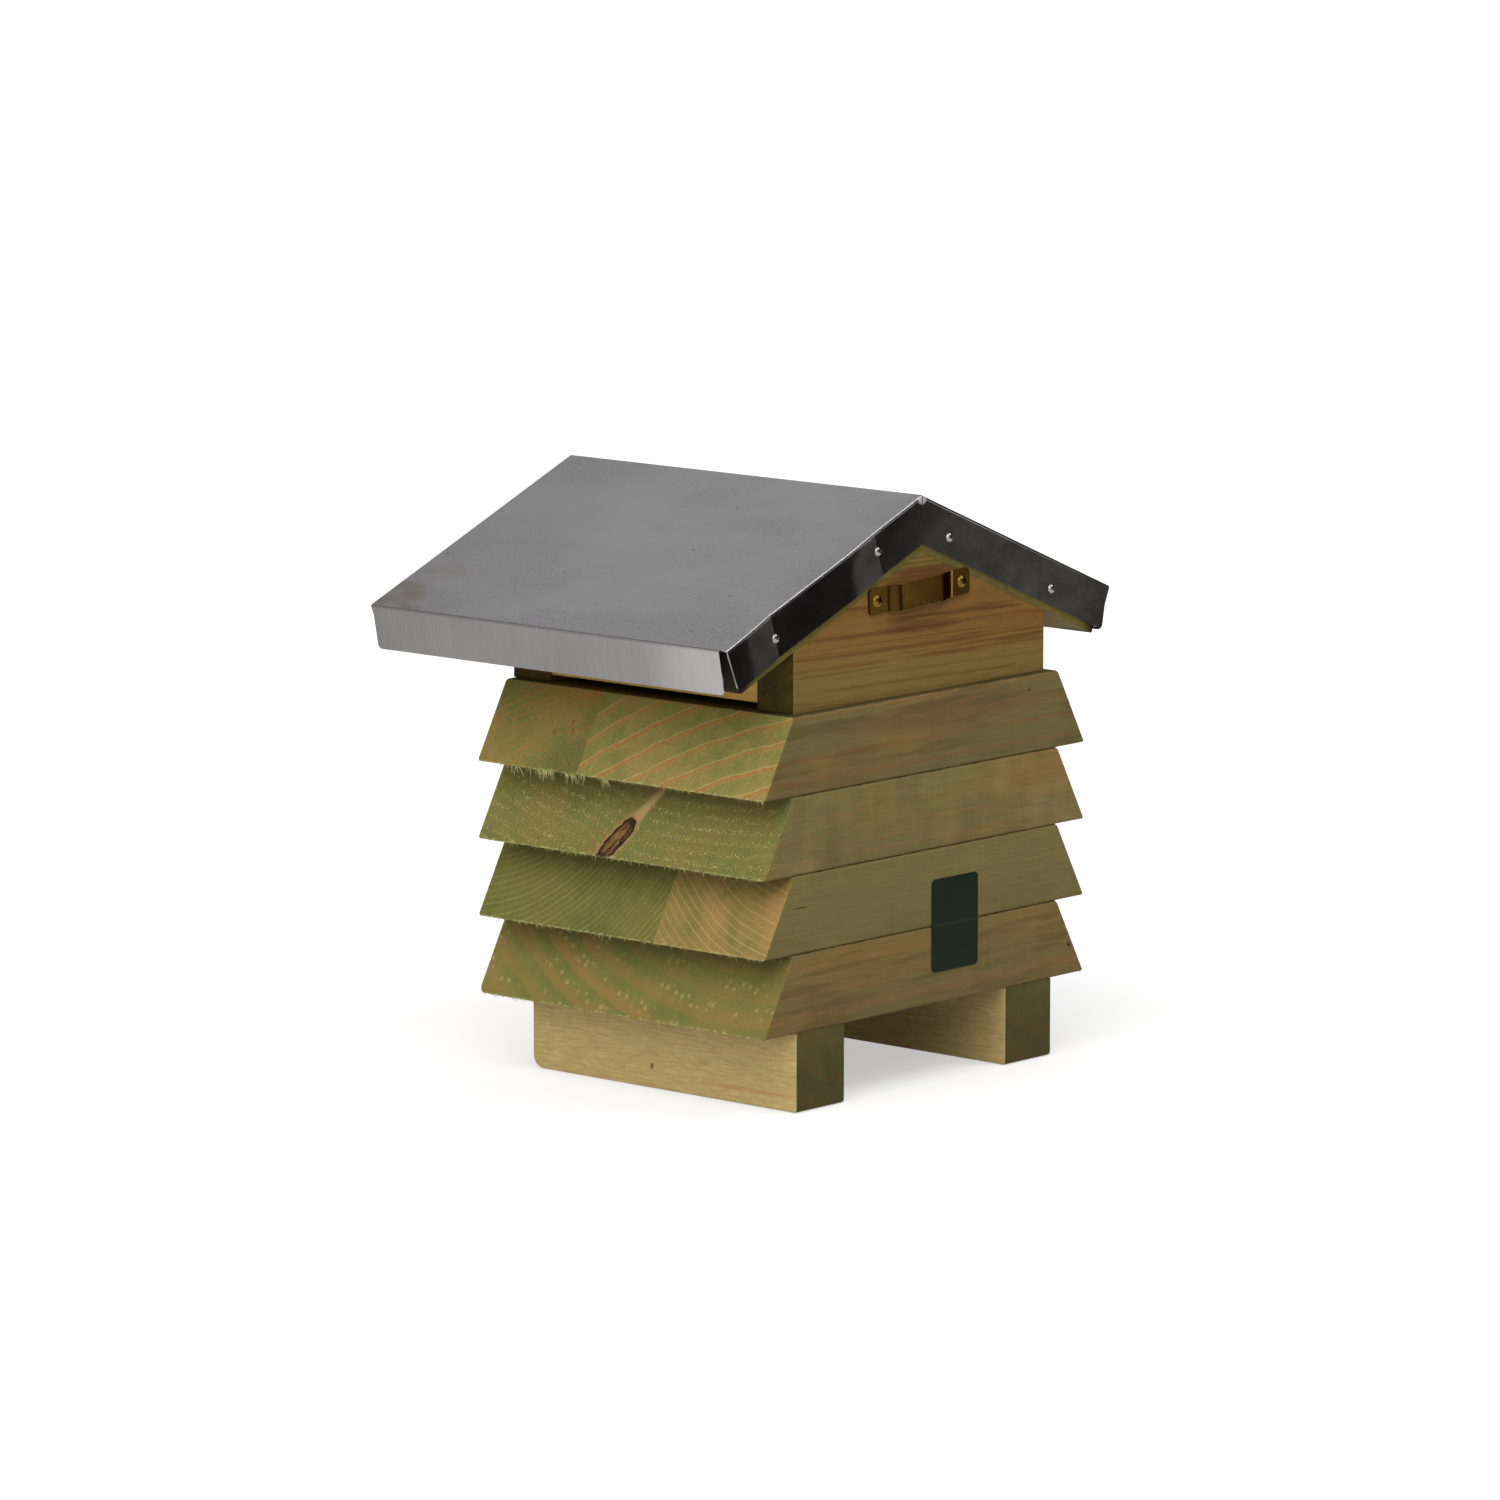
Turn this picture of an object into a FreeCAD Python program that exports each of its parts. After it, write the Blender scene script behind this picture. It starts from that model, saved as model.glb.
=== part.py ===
import FreeCAD, Part
import math
import os

from FreeCAD import Placement, Rotation, Vector

# A bee hotel in the shape of a tiered hive. Millimetres and degrees.
# The nesting holes open to the front, -Y. The hanger is on the back, +Y. Left is -X.
# The origin is on the floor, in the middle of the whole object's box.

# Tiers, counted from the top
TIER_COUNT = 4
TIER_HEIGHT = 30.0
TIER_TOP_WIDTH = 154.5
TIER_BOTTOM_WIDTH = 187.5
TIER_DEPTH = 146.0
# Depth of the front board in each tier that is glued up from two boards
GLUED_FRONT_DEPTH = {1: 51.0, 3: 90.0}
ARRIS_BEVEL = 0.8
PENCIL_ROUND_RADIUS = 3.0

# Nesting holes: the diameters repeat along each row, and rows are staggered by half a pitch
NEST_DIAMETERS = (8.0, 6.0, 10.0)
NEST_PITCH = 22.0
NEST_DEPTH = 85.0
NEST_SIDE_MARGIN = 18.0
NEST_COVER = 2.0

# Feet
FOOT_HEIGHT = 30.5
FOOT_WIDTH = 27.5
FOOT_LENGTH = 134.5
FOOT_SPREAD = 149.7
FOOT_BACK_INSET = 0.6
FOOT_NOSE_RADIUS = 5.0

# Head: two gable boards with a side board between them on each side
HEAD_WIDTH = 146.5
HEAD_SIDE_HEIGHT = 23.5
GABLE_THICKNESS = 18.0
SIDE_BOARD_THICKNESS = 12.0
SIDE_BOARD_SET_IN = 2.0
SIDE_BOARD_AIR_GAP = 2.5

# Roof boards
ROOF_PITCH = 22.5
ROOF_SPAN = 227.0
ROOF_FRONT_OVERHANG = 38.0
ROOF_BOARD_THICKNESS = 19.5
RIDGE_FLAT_DEPTH = 0.4

# Folded roof sheet, with bend radii on the outside
SHEET_THICKNESS = 0.6
BEND_RADIUS = 1.2
EAVE_FLANGE_DEPTH = 17.3
EAVE_FLANGE_SPRING = 11.5
EAVE_OVERRUN = 3.0
EAVE_FLANGE_END_GAP = 0.8
GABLE_FLANGE_DEPTH = 17.3
FLANGE_CORNER_RADIUS = 1.8
RIDGE_SLIT = 0.4

# Strap hanger
HANGER_LENGTH = 58.4
HANGER_HEIGHT = 10.0
HANGER_THICKNESS = 0.8
HANGER_RAISE = 3.0
HANGER_EAR_LENGTH = 9.4
HANGER_RAMP_LENGTH = 6.0
HANGER_BEND_RADIUS = 1.2
HANGER_CORNER_RADIUS = 1.6
# The hanger was put on by hand: off the middle, and with its left ear a little higher
HANGER_CENTRE_X = 1.5
HANGER_TILT = 2.6
HANGER_FLANGE_GAP = 0.2
HANGER_TOOTH_COUNT = 4
HANGER_TOOTH_PITCH = 5.4
HANGER_TOOTH_WIDTH = 2.4
HANGER_TOOTH_DEPTH = 1.6

# Blank sticker across the joint of the two lowest tiers
STICKER_WIDTH = 27.5
STICKER_HEIGHT = 36.0
STICKER_THICKNESS = 0.15
STICKER_CORNER_RADIUS = 2.2
STICKER_CENTRE_X = -16.0

# Fasteners, which are many-sided to keep the model light
FASTENER_SIDES = 8
DOME_SIDES = 12
DOME_RINGS = 3
FIT_CLEARANCE = 0.05
WOOD_SCREW_DIAMETER = 4.0
WOOD_SCREW_HEAD_DIAMETER = 8.0
TIER_SCREW_FRONT_INSET = 25.0
TIER_SCREW_BACK_INSET = 38.0
GABLE_SCREW_TIP_GAP = 3.3
FOOT_SCREW_END_INSET = 24.0
FOOT_SCREW_SINK = 0.5
SHEET_NAIL_DIAMETER = 1.8
SHEET_NAIL_HEAD_DIAMETER = 3.8
SHEET_NAIL_HEAD_HEIGHT = 1.3
SHEET_NAIL_LENGTH = 20.0
# Each nail in a gable flange: how far from the middle, and how far below the sheet's top
SHEET_NAIL_PLACES = {"left": ((16.0, 10.4), (76.9, 11.3)), "right": ((25.7, 7.7), (84.0, 9.8))}
BOARD_NAIL_DIAMETER = 2.4
BOARD_NAIL_HEAD_DIAMETER = 5.0
BOARD_NAIL_RIM = 0.6
BOARD_NAIL_BITE = 16.0
GABLE_NAIL_HANGER_GAP = 8.5
GABLE_NAIL_SIDE_INSET = 13.25
SIDE_NAIL_BITE = 12.0
SIDE_NAIL_SPREAD = 60.0
HANGER_SCREW_DIAMETER = 2.6
HANGER_SCREW_HEAD_DIAMETER = 5.0
HANGER_SCREW_HEAD_HEIGHT = 1.5
HANGER_SCREW_LENGTH = 12.0
HANGER_SCREW_END_INSET = 4.55
HANGER_SCREW_RECESS_SPAN = 2.6
HANGER_SCREW_RECESS_WIDTH = 0.6
HANGER_SCREW_RECESS_DEPTH = 0.9
POINT_LENGTH_RATIO = 1.5

# Values worked out from the sizes above
PITCH = math.radians(ROOF_PITCH)
HEAD_BACK_INSET = HANGER_RAISE + HANGER_THICKNESS
HEAD_DEPTH = TIER_DEPTH - HEAD_BACK_INSET
TOTAL_DEPTH = STICKER_THICKNESS + TIER_DEPTH + ROOF_FRONT_OVERHANG + SHEET_NAIL_HEAD_HEIGHT

TIER_BACK_Y = TOTAL_DEPTH / 2 - STICKER_THICKNESS
TIER_FRONT_Y = TIER_BACK_Y - TIER_DEPTH
GABLE_BACK_Y = TIER_BACK_Y - HEAD_BACK_INSET
GABLE_FRONT_Y = GABLE_BACK_Y - HEAD_DEPTH
SHEET_BACK_Y = GABLE_BACK_Y + SHEET_THICKNESS
SHEET_FRONT_Y = GABLE_FRONT_Y - ROOF_FRONT_OVERHANG

HEAD_BASE_Z = FOOT_HEIGHT + TIER_COUNT * TIER_HEIGHT
ROOF_UNDER_Z = HEAD_BASE_Z + HEAD_SIDE_HEIGHT + HEAD_WIDTH / 2 * math.tan(PITCH)
SHEET_TOP = ROOF_BOARD_THICKNESS + SHEET_THICKNESS
SHEET_EAVE = (ROOF_SPAN / 2 - SHEET_TOP * math.sin(PITCH)) / math.cos(PITCH)
BOARD_EAVE = SHEET_EAVE - SHEET_THICKNESS - EAVE_OVERRUN

# A screw driven up into a tier stops short of the nesting holes
TIER_SCREW_BITE = (TIER_HEIGHT - max(NEST_DIAMETERS)) / 2 - NEST_COVER

# Each gable takes two nails from either slope: one clear of the hanger, one near the head's side.
# A screw driven up into a gable stops short of the higher nail's point.
GABLE_NAIL_STATIONS = (HANGER_LENGTH / 2 + GABLE_NAIL_HANGER_GAP, HEAD_WIDTH / 2 - GABLE_NAIL_SIDE_INSET)
GABLE_NAIL_POINT_Z = (ROOF_UNDER_Z - GABLE_NAIL_STATIONS[0] * math.tan(PITCH)
                      - BOARD_NAIL_BITE * math.cos(PITCH))
GABLE_SCREW_BITE = GABLE_NAIL_POINT_Z - HEAD_BASE_Z - GABLE_SCREW_TIP_GAP

# Two lengths closer than this count as the same place
SAME_PLACE = 1e-6
UP = Vector(0, 0, 1)
DOWN = Vector(0, 0, -1)
FRONTWARD = Vector(0, -1, 0)
BACKWARD = Vector(0, 1, 0)
SIDES = {"left": -1, "right": 1}


# Geometry helpers

def face_of(points):
    return Part.Face(Part.makePolygon(points + [points[0]]))


def prism_along_y(outline, front, back):
    """Solid with an (x, z) outline, from one depth to another."""
    face = face_of([Vector(x, front, z) for x, z in outline])
    return face.extrude(Vector(0, back - front, 0))


def turned(profile, sides=FASTENER_SIDES):
    """Flat-sided turned solid about Z, through (radius, height) points. A last radius of 0 is a point."""
    turn = 360 / sides
    slices = []
    for (top_radius, top), (low_radius, low) in zip(profile, profile[1:]):
        corners = [Vector(top_radius, 0, top), Rotation(UP, turn).multVec(Vector(top_radius, 0, top))]
        if low_radius > 0:
            corners.append(Rotation(UP, turn).multVec(Vector(low_radius, 0, low)))
        corners.append(Vector(low_radius, 0, low))
        slices.append(face_of(corners))
    faces = []
    for index in range(sides):
        for flat in slices:
            faces.append(flat.rotated(Vector(0, 0, 0), UP, turn * index))
    for radius, height in (profile[0], profile[-1]):
        if radius > 0:
            rim = [Rotation(UP, turn * index).multVec(Vector(radius, 0, height)) for index in range(sides)]
            faces.append(face_of(rim))
    shell = Part.makeShell(faces)
    shell.sewShape()
    return Part.makeSolid(shell)


def placed(shape, position, outward):
    """Copy of a shape whose own +Z is turned to point outward."""
    copy = shape.copy()
    copy.Placement = Placement(position, Rotation(UP, outward))
    return copy


def edges_along_x(shape, depth, height):
    """Edges of a board that run left to right at one depth and height."""
    def on_line(vertex):
        return abs(vertex.Y - depth) < SAME_PLACE and abs(vertex.Z - height) < SAME_PLACE
    return [edge for edge in shape.Edges if all(on_line(vertex) for vertex in edge.Vertexes)]


def rounded_rectangle(width, height, radius):
    """Face about the origin in the XY plane, with round corners."""
    half_width = width / 2
    half_height = height / 2
    bend = radius * (1 - math.sqrt(0.5))
    edges = []
    for turn in range(4):
        spin = Rotation(UP, 90 * turn)
        along, across = (half_width, half_height) if turn % 2 == 0 else (half_height, half_width)
        start = Vector(along, radius - across, 0)
        end = Vector(along, across - radius, 0)
        middle = Vector(along - bend, across - bend, 0)
        finish = Vector(along - radius, across, 0)
        edges.append(Part.LineSegment(spin.multVec(start), spin.multVec(end)).toShape())
        arc = Part.Arc(spin.multVec(end), spin.multVec(middle), spin.multVec(finish))
        edges.append(arc.toShape())
    return Part.Face(Part.Wire(edges))


def rounded_path(points, radius):
    """Edges through flat points, with a tangent arc at each inner point."""
    edges = []
    start = points[0]
    for before, corner, after in zip(points, points[1:], points[2:]):
        back = (before - corner).normalize()
        ahead = (after - corner).normalize()
        half_angle = back.getAngle(ahead) / 2
        tangent = radius / math.tan(half_angle)
        centre = corner + (back + ahead).normalize() * (radius / math.sin(half_angle))
        arc_start = corner + back * tangent
        arc_end = corner + ahead * tangent
        arc_middle = centre + (corner - centre).normalize() * radius
        edges.append(Part.LineSegment(start, arc_start).toShape())
        edges.append(Part.Arc(arc_start, arc_middle, arc_end).toShape())
        start = arc_end
    edges.append(Part.LineSegment(start, points[-1]).toShape())
    return edges


def offset_line(points, thickness, normal):
    """Points moved sideways by one thickness, to the right of their direction seen against normal."""
    directions = [(end - start).normalize() for start, end in zip(points, points[1:])]
    sideways = [direction.cross(normal) for direction in directions]
    moved = [points[0] + sideways[0] * thickness]
    for index, corner in enumerate(points[1:-1]):
        mean = (sideways[index] + sideways[index + 1]).normalize()
        moved.append(corner + mean * (thickness / mean.dot(sideways[index])))
    moved.append(points[-1] + sideways[-1] * thickness)
    return moved


def strip_face(points, thickness, normal, bends):
    """Section of a bent strip. bends gives the bend radius along points and along the other face."""
    near = rounded_path(points, bends[0])
    far_points = offset_line(points, thickness, normal)
    far = rounded_path(far_points, bends[1])
    caps = [
        Part.LineSegment(points[0], far_points[0]).toShape(),
        Part.LineSegment(points[-1], far_points[-1]).toShape(),
    ]
    loop = Part.Wire(Part.__sortEdges__(near + far + caps))
    return Part.Face(loop)


# Fasteners stand with the top of the seat at the origin and the shank down -Z

def pointed_shank(radius, length):
    tip = radius * POINT_LENGTH_RATIO
    return [(radius, tip - length), (0, -length)]


def wood_screw(length, clearance=0.0):
    """Countersunk wood screw."""
    head = WOOD_SCREW_HEAD_DIAMETER / 2 + clearance
    shank = WOOD_SCREW_DIAMETER / 2 + clearance
    return turned([(head, 0), (shank, shank - head)] + pointed_shank(shank, length + clearance))


def board_nail(length, clearance=0.0):
    """Flat-headed nail, driven flush. The head tapers into the shank below its rim."""
    head = BOARD_NAIL_HEAD_DIAMETER / 2 + clearance
    shank = BOARD_NAIL_DIAMETER / 2 + clearance
    rim = -BOARD_NAIL_RIM - clearance
    profile = [(head, 0), (head, rim), (shank, rim + shank - head)]
    return turned(profile + pointed_shank(shank, length + clearance))


def domed_head(diameter, height):
    """Round head that stands on the seat: rings on a slice of a ball, closed at the crown."""
    radius = diameter / 2
    ball_radius = (radius ** 2 + height ** 2) / (2 * height)
    spread = math.asin(radius / ball_radius)
    rings = []
    for ring in range(DOME_RINGS + 1):
        angle = spread * (1 - ring / DOME_RINGS)
        rings.append((ball_radius * math.sin(angle), height - ball_radius * (1 - math.cos(angle))))
    return turned(rings, DOME_SIDES)


def headed(head, diameter, length):
    """A head on a pointed shank."""
    radius = diameter / 2
    return head.fuse(turned([(radius, 0)] + pointed_shank(radius, length))).removeSplitter()


def sheet_nail():
    head = domed_head(SHEET_NAIL_HEAD_DIAMETER, SHEET_NAIL_HEAD_HEIGHT)
    return headed(head, SHEET_NAIL_DIAMETER, SHEET_NAIL_LENGTH)


def hanger_screw():
    """Round-headed screw with a cross recess."""
    head = domed_head(HANGER_SCREW_HEAD_DIAMETER, HANGER_SCREW_HEAD_HEIGHT)
    floor = HANGER_SCREW_HEAD_HEIGHT - HANGER_SCREW_RECESS_DEPTH
    for angle in (0, 90):
        slot = Part.makeBox(HANGER_SCREW_RECESS_SPAN, HANGER_SCREW_RECESS_WIDTH, HANGER_SCREW_HEAD_HEIGHT)
        slot.translate(Vector(-HANGER_SCREW_RECESS_SPAN / 2, -HANGER_SCREW_RECESS_WIDTH / 2, floor))
        slot.rotate(Vector(0, 0, 0), UP, angle)
        head = head.cut(slot)
    return headed(head, HANGER_SCREW_DIAMETER, HANGER_SCREW_LENGTH)


def pilot_hole(diameter, length):
    """Hole for a headed fastener's shank, open a little above the seat."""
    radius = diameter / 2 + FIT_CLEARANCE
    return turned([(radius, FIT_CLEARANCE)] + pointed_shank(radius, length + FIT_CLEARANCE))


# Tiers

def tier_bottom(tier):
    return HEAD_BASE_Z - tier * TIER_HEIGHT


def nest_row(tier):
    """Places of a tier's nesting holes across X. Every second row has one hole fewer."""
    middle_width = (TIER_TOP_WIDTH + TIER_BOTTOM_WIDTH) / 2
    full_count = int((middle_width - 2 * NEST_SIDE_MARGIN) // NEST_PITCH) + 1
    count = full_count if tier % 2 == 1 else full_count - 1
    return [(index - (count - 1) / 2) * NEST_PITCH for index in range(count)]


def nest_diameter(tier, index):
    return NEST_DIAMETERS[(tier + index) % len(NEST_DIAMETERS)]


def tier_holes(tier):
    middle = tier_bottom(tier) + TIER_HEIGHT / 2
    holes = []
    for index, x in enumerate(nest_row(tier)):
        radius = nest_diameter(tier, index) / 2
        holes.append(Part.makeCylinder(radius, NEST_DEPTH, Vector(x, TIER_FRONT_Y, middle), BACKWARD))
    return holes


def bevelled_board(tier, front, back):
    """One board of a tier, between two depths, with its outer long edges eased."""
    bottom = tier_bottom(tier)
    top = bottom + TIER_HEIGHT
    half_bottom = TIER_BOTTOM_WIDTH / 2
    half_top = TIER_TOP_WIDTH / 2
    board = prism_along_y(
        [(-half_bottom, bottom), (half_bottom, bottom), (half_top, top), (-half_top, top)], front, back)
    for depth in (front, back):
        if depth not in (TIER_FRONT_Y, TIER_BACK_Y):
            continue
        for height in (top, bottom):
            edges = edges_along_x(board, depth, height)
            if tier == TIER_COUNT and depth == TIER_FRONT_Y and height == bottom:
                board = board.makeFillet(PENCIL_ROUND_RADIUS, edges)
            else:
                board = board.makeChamfer(ARRIS_BEVEL, edges)
    return board


def tier_boards(tier):
    """Named boards of one tier: a single one, or a front and a back board glued edge to edge."""
    if tier not in GLUED_FRONT_DEPTH:
        return {f"tier_{tier}_board": bevelled_board(tier, TIER_FRONT_Y, TIER_BACK_Y)}
    glue_line = TIER_FRONT_Y + GLUED_FRONT_DEPTH[tier]
    return {
        f"tier_{tier}_front_board": bevelled_board(tier, TIER_FRONT_Y, glue_line),
        f"tier_{tier}_back_board": bevelled_board(tier, glue_line, TIER_BACK_Y),
    }


def screw_gap(tier):
    """Distance from the middle to the wood between the second and third nesting holes from a row's end."""
    row = nest_row(tier)
    return (row[-2] + row[-3]) / 2


def tier_screw_places(tier):
    """Seats of the screws that go up through a tier into the one above."""
    return [Vector(side * screw_gap(tier), depth, tier_bottom(tier))
            for side in SIDES.values()
            for depth in (TIER_FRONT_Y + TIER_SCREW_FRONT_INSET, TIER_BACK_Y - TIER_SCREW_BACK_INSET)]


def gable_screw_places():
    """Seats of the screws that go up through the top tier into the gables."""
    return [Vector(side * screw_gap(1), depth, tier_bottom(1))
            for side in SIDES.values()
            for depth in (GABLE_FRONT_Y + GABLE_THICKNESS / 2, GABLE_BACK_Y - GABLE_THICKNESS / 2)]


# Feet

def foot_middle(side):
    return side * (FOOT_SPREAD - FOOT_WIDTH) / 2


def foot_ends():
    back = TIER_BACK_Y - FOOT_BACK_INSET
    return back - FOOT_LENGTH, back


def foot(side):
    front, back = foot_ends()
    low = foot_middle(side) - FOOT_WIDTH / 2
    block = Part.makeBox(FOOT_WIDTH, back - front, FOOT_HEIGHT, Vector(low, front, 0))
    block = block.makeFillet(FOOT_NOSE_RADIUS, edges_along_x(block, front, 0))
    return block.makeChamfer(ARRIS_BEVEL, edges_along_x(block, back, 0))


def foot_screw_places(side):
    front, back = foot_ends()
    return [Vector(foot_middle(side), depth, FOOT_SCREW_SINK)
            for depth in (front + FOOT_SCREW_END_INSET, back - FOOT_SCREW_END_INSET)]


# Head

def gable(front):
    half = HEAD_WIDTH / 2
    shoulder = HEAD_BASE_Z + HEAD_SIDE_HEIGHT
    outline = [(-half, HEAD_BASE_Z), (half, HEAD_BASE_Z), (half, shoulder), (0, ROOF_UNDER_Z),
               (-half, shoulder)]
    return prism_along_y(outline, front, front + GABLE_THICKNESS)


def roof_underside(x):
    return ROOF_UNDER_Z - abs(x) * math.tan(PITCH)


def side_board(side):
    outer = HEAD_WIDTH / 2 - SIDE_BOARD_SET_IN
    inner = outer - SIDE_BOARD_THICKNESS
    foot_z = HEAD_BASE_Z + SIDE_BOARD_AIR_GAP
    outline = [(side * inner, foot_z), (side * outer, foot_z), (side * outer, roof_underside(outer)),
               (side * inner, roof_underside(inner))]
    return prism_along_y(outline, GABLE_FRONT_Y + GABLE_THICKNESS, GABLE_BACK_Y - GABLE_THICKNESS)


# Roof. A place on a slope is given down the slope from the ridge, and out from the boards' underside.

def slope_down(side):
    return Vector(side * math.cos(PITCH), 0, -math.sin(PITCH))


def slope_out(side):
    return Vector(side * math.sin(PITCH), 0, math.cos(PITCH))


def on_slope(side, down, out, depth=0.0):
    return Vector(0, depth, ROOF_UNDER_Z) + slope_down(side) * down + slope_out(side) * out


def roof_board(side):
    front = SHEET_FRONT_Y + SHEET_THICKNESS
    back = SHEET_BACK_Y - SHEET_THICKNESS
    peak = ROOF_UNDER_Z + ROOF_BOARD_THICKNESS / math.cos(PITCH) - RIDGE_FLAT_DEPTH
    eave_low = on_slope(side, BOARD_EAVE, 0)
    eave_high = on_slope(side, BOARD_EAVE, ROOF_BOARD_THICKNESS)
    outline = [(0, ROOF_UNDER_Z), (eave_low.x, eave_low.z), (eave_high.x, eave_high.z),
               (side * RIDGE_FLAT_DEPTH / math.tan(PITCH), peak), (0, peak)]
    board = prism_along_y(outline, front, back)
    ends = []
    for edge in board.Edges:
        middle = edge.CenterOfMass
        at_end = min(abs(middle.y - front), abs(middle.y - back)) < SAME_PLACE
        above = (middle - on_slope(side, 0, ROOF_BOARD_THICKNESS)).dot(slope_out(side))
        if at_end and abs(above) < SAME_PLACE:
            ends.append(edge)
    return board.makeChamfer(ARRIS_BEVEL, ends)


def folded_flange(length, depth, angle):
    """Bend and flange in a local frame: the bend runs along X through the origin, the sheet lies
    towards -Y with its outer face at z = 0, and the flange turns down on the +Y side."""
    bend = math.radians(angle)
    inner = BEND_RADIUS - SHEET_THICKNESS
    centre = Vector(-length / 2, 0, -BEND_RADIUS)

    def on_bend(radius, share):
        return centre + Vector(0, math.sin(bend * share), math.cos(bend * share)) * radius

    ring = Part.Wire(Part.__sortEdges__([
        Part.Arc(on_bend(BEND_RADIUS, 0), on_bend(BEND_RADIUS, 0.5), on_bend(BEND_RADIUS, 1)).toShape(),
        Part.LineSegment(on_bend(BEND_RADIUS, 1), on_bend(inner, 1)).toShape(),
        Part.Arc(on_bend(inner, 1), on_bend(inner, 0.5), on_bend(inner, 0)).toShape(),
        Part.LineSegment(on_bend(inner, 0), on_bend(BEND_RADIUS, 0)).toShape(),
    ]))
    curl = Part.Face(ring).extrude(Vector(length, 0, 0))
    flat_depth = depth - BEND_RADIUS * math.tan(bend / 2)
    # The upper half of a plate twice as deep is cut away, so only the two free corners are round
    plate = rounded_rectangle(length, 2 * flat_depth, FLANGE_CORNER_RADIUS).extrude(
        Vector(0, 0, -SHEET_THICKNESS))
    plate = plate.cut(Part.makeBox(length, flat_depth, SHEET_THICKNESS,
                                   Vector(-length / 2, -flat_depth, -SHEET_THICKNESS)))
    plate.rotate(Vector(0, 0, 0), Vector(1, 0, 0), -angle)
    plate.translate(on_bend(BEND_RADIUS, 1) + Vector(length / 2, 0, 0))
    return curl.fuse(plate)


def in_frame(shape, origin, outward, up):
    """Copy of a local shape with its Y and Z axes laid along the given directions."""
    along = outward.cross(up)
    copy = shape.copy()
    copy.Placement = Placement(FreeCAD.Matrix(
        along.x, outward.x, up.x, origin.x,
        along.y, outward.y, up.y, origin.y,
        along.z, outward.z, up.z, origin.z,
        0, 0, 0, 1))
    return copy


def eave_setback():
    return BEND_RADIUS * math.tan(math.radians(90 - EAVE_FLANGE_SPRING) / 2)


def sheet_slopes():
    """Both slopes and the ridge bend, from one eave bend to the other."""
    reach = SHEET_EAVE - eave_setback()
    ridge = Vector(0, 0, ROOF_UNDER_Z + SHEET_TOP / math.cos(PITCH))
    outer = [on_slope(1, reach, SHEET_TOP), ridge, on_slope(-1, reach, SHEET_TOP)]
    section = strip_face(outer, SHEET_THICKNESS, BACKWARD, (BEND_RADIUS, BEND_RADIUS - SHEET_THICKNESS))
    section.translate(Vector(0, SHEET_FRONT_Y + BEND_RADIUS, 0))
    return section.extrude(Vector(0, SHEET_BACK_Y - SHEET_FRONT_Y - 2 * BEND_RADIUS, 0))


def eave_flange(side):
    length = SHEET_BACK_Y - SHEET_FRONT_Y - 2 * (BEND_RADIUS + EAVE_FLANGE_END_GAP)
    flange = folded_flange(length, EAVE_FLANGE_DEPTH, 90 - EAVE_FLANGE_SPRING)
    middle_y = (SHEET_FRONT_Y + SHEET_BACK_Y) / 2
    origin = on_slope(side, SHEET_EAVE - eave_setback(), SHEET_TOP, middle_y)
    return in_frame(flange, origin, slope_down(side), slope_out(side))


def gable_flange(side, end, outward):
    """Flange on one slope's front or back end, cut upright at the ridge."""
    ridge = -SHEET_TOP * math.tan(PITCH)
    eave = SHEET_EAVE - eave_setback()
    flange = folded_flange(eave - ridge, GABLE_FLANGE_DEPTH, 90)
    origin = on_slope(side, (ridge + eave) / 2, SHEET_TOP, end - outward.y * BEND_RADIUS)
    flange = in_frame(flange, origin, outward, slope_out(side))
    # A cube wider than the roof, on this slope's side of the slit
    far = ROOF_SPAN
    start = RIDGE_SLIT / 2 if side > 0 else -far - RIDGE_SLIT / 2
    return flange.common(Part.makeBox(far, far, far, Vector(start, end - far / 2, ROOF_UNDER_Z - far / 2)))


def sheet_nail_seats(name):
    """Seats of the nails in a slope's two gable flanges, each with its outward direction."""
    seats = []
    for end, outward in ((SHEET_FRONT_Y, FRONTWARD), (SHEET_BACK_Y, BACKWARD)):
        for station, drop in SHEET_NAIL_PLACES[name]:
            out = SHEET_TOP - drop
            down = (station - out * math.sin(PITCH)) / math.cos(PITCH)
            seats.append((on_slope(SIDES[name], down, out, end), outward))
    return seats


def roof_sheet():
    pieces = []
    for side in SIDES.values():
        pieces.append(eave_flange(side))
        pieces.append(gable_flange(side, SHEET_FRONT_Y, FRONTWARD))
        pieces.append(gable_flange(side, SHEET_BACK_Y, BACKWARD))
    return sheet_slopes().fuse(pieces).removeSplitter()


def board_nail_seats(side):
    """Seats of a roof board's nails: into both gables, and into the side board below it."""
    gable_depths = (GABLE_FRONT_Y + GABLE_THICKNESS / 2, GABLE_BACK_Y - GABLE_THICKNESS / 2)
    rise = ROOF_BOARD_THICKNESS
    seats = [(on_slope(side, station / math.cos(PITCH), rise, depth), rise + BOARD_NAIL_BITE)
             for station in GABLE_NAIL_STATIONS for depth in gable_depths]
    middle_x = HEAD_WIDTH / 2 - SIDE_BOARD_SET_IN - SIDE_BOARD_THICKNESS / 2
    entry = (middle_x + SIDE_NAIL_BITE / 2 * math.sin(PITCH)) / math.cos(PITCH)
    middle_y = (GABLE_FRONT_Y + GABLE_BACK_Y) / 2
    for offset in (-SIDE_NAIL_SPREAD / 2, SIDE_NAIL_SPREAD / 2):
        seats.append((on_slope(side, entry, rise, middle_y + offset), rise + SIDE_NAIL_BITE))
    return seats


# Hanger

def hanger_turn():
    return Rotation(BACKWARD, HANGER_TILT)


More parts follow.
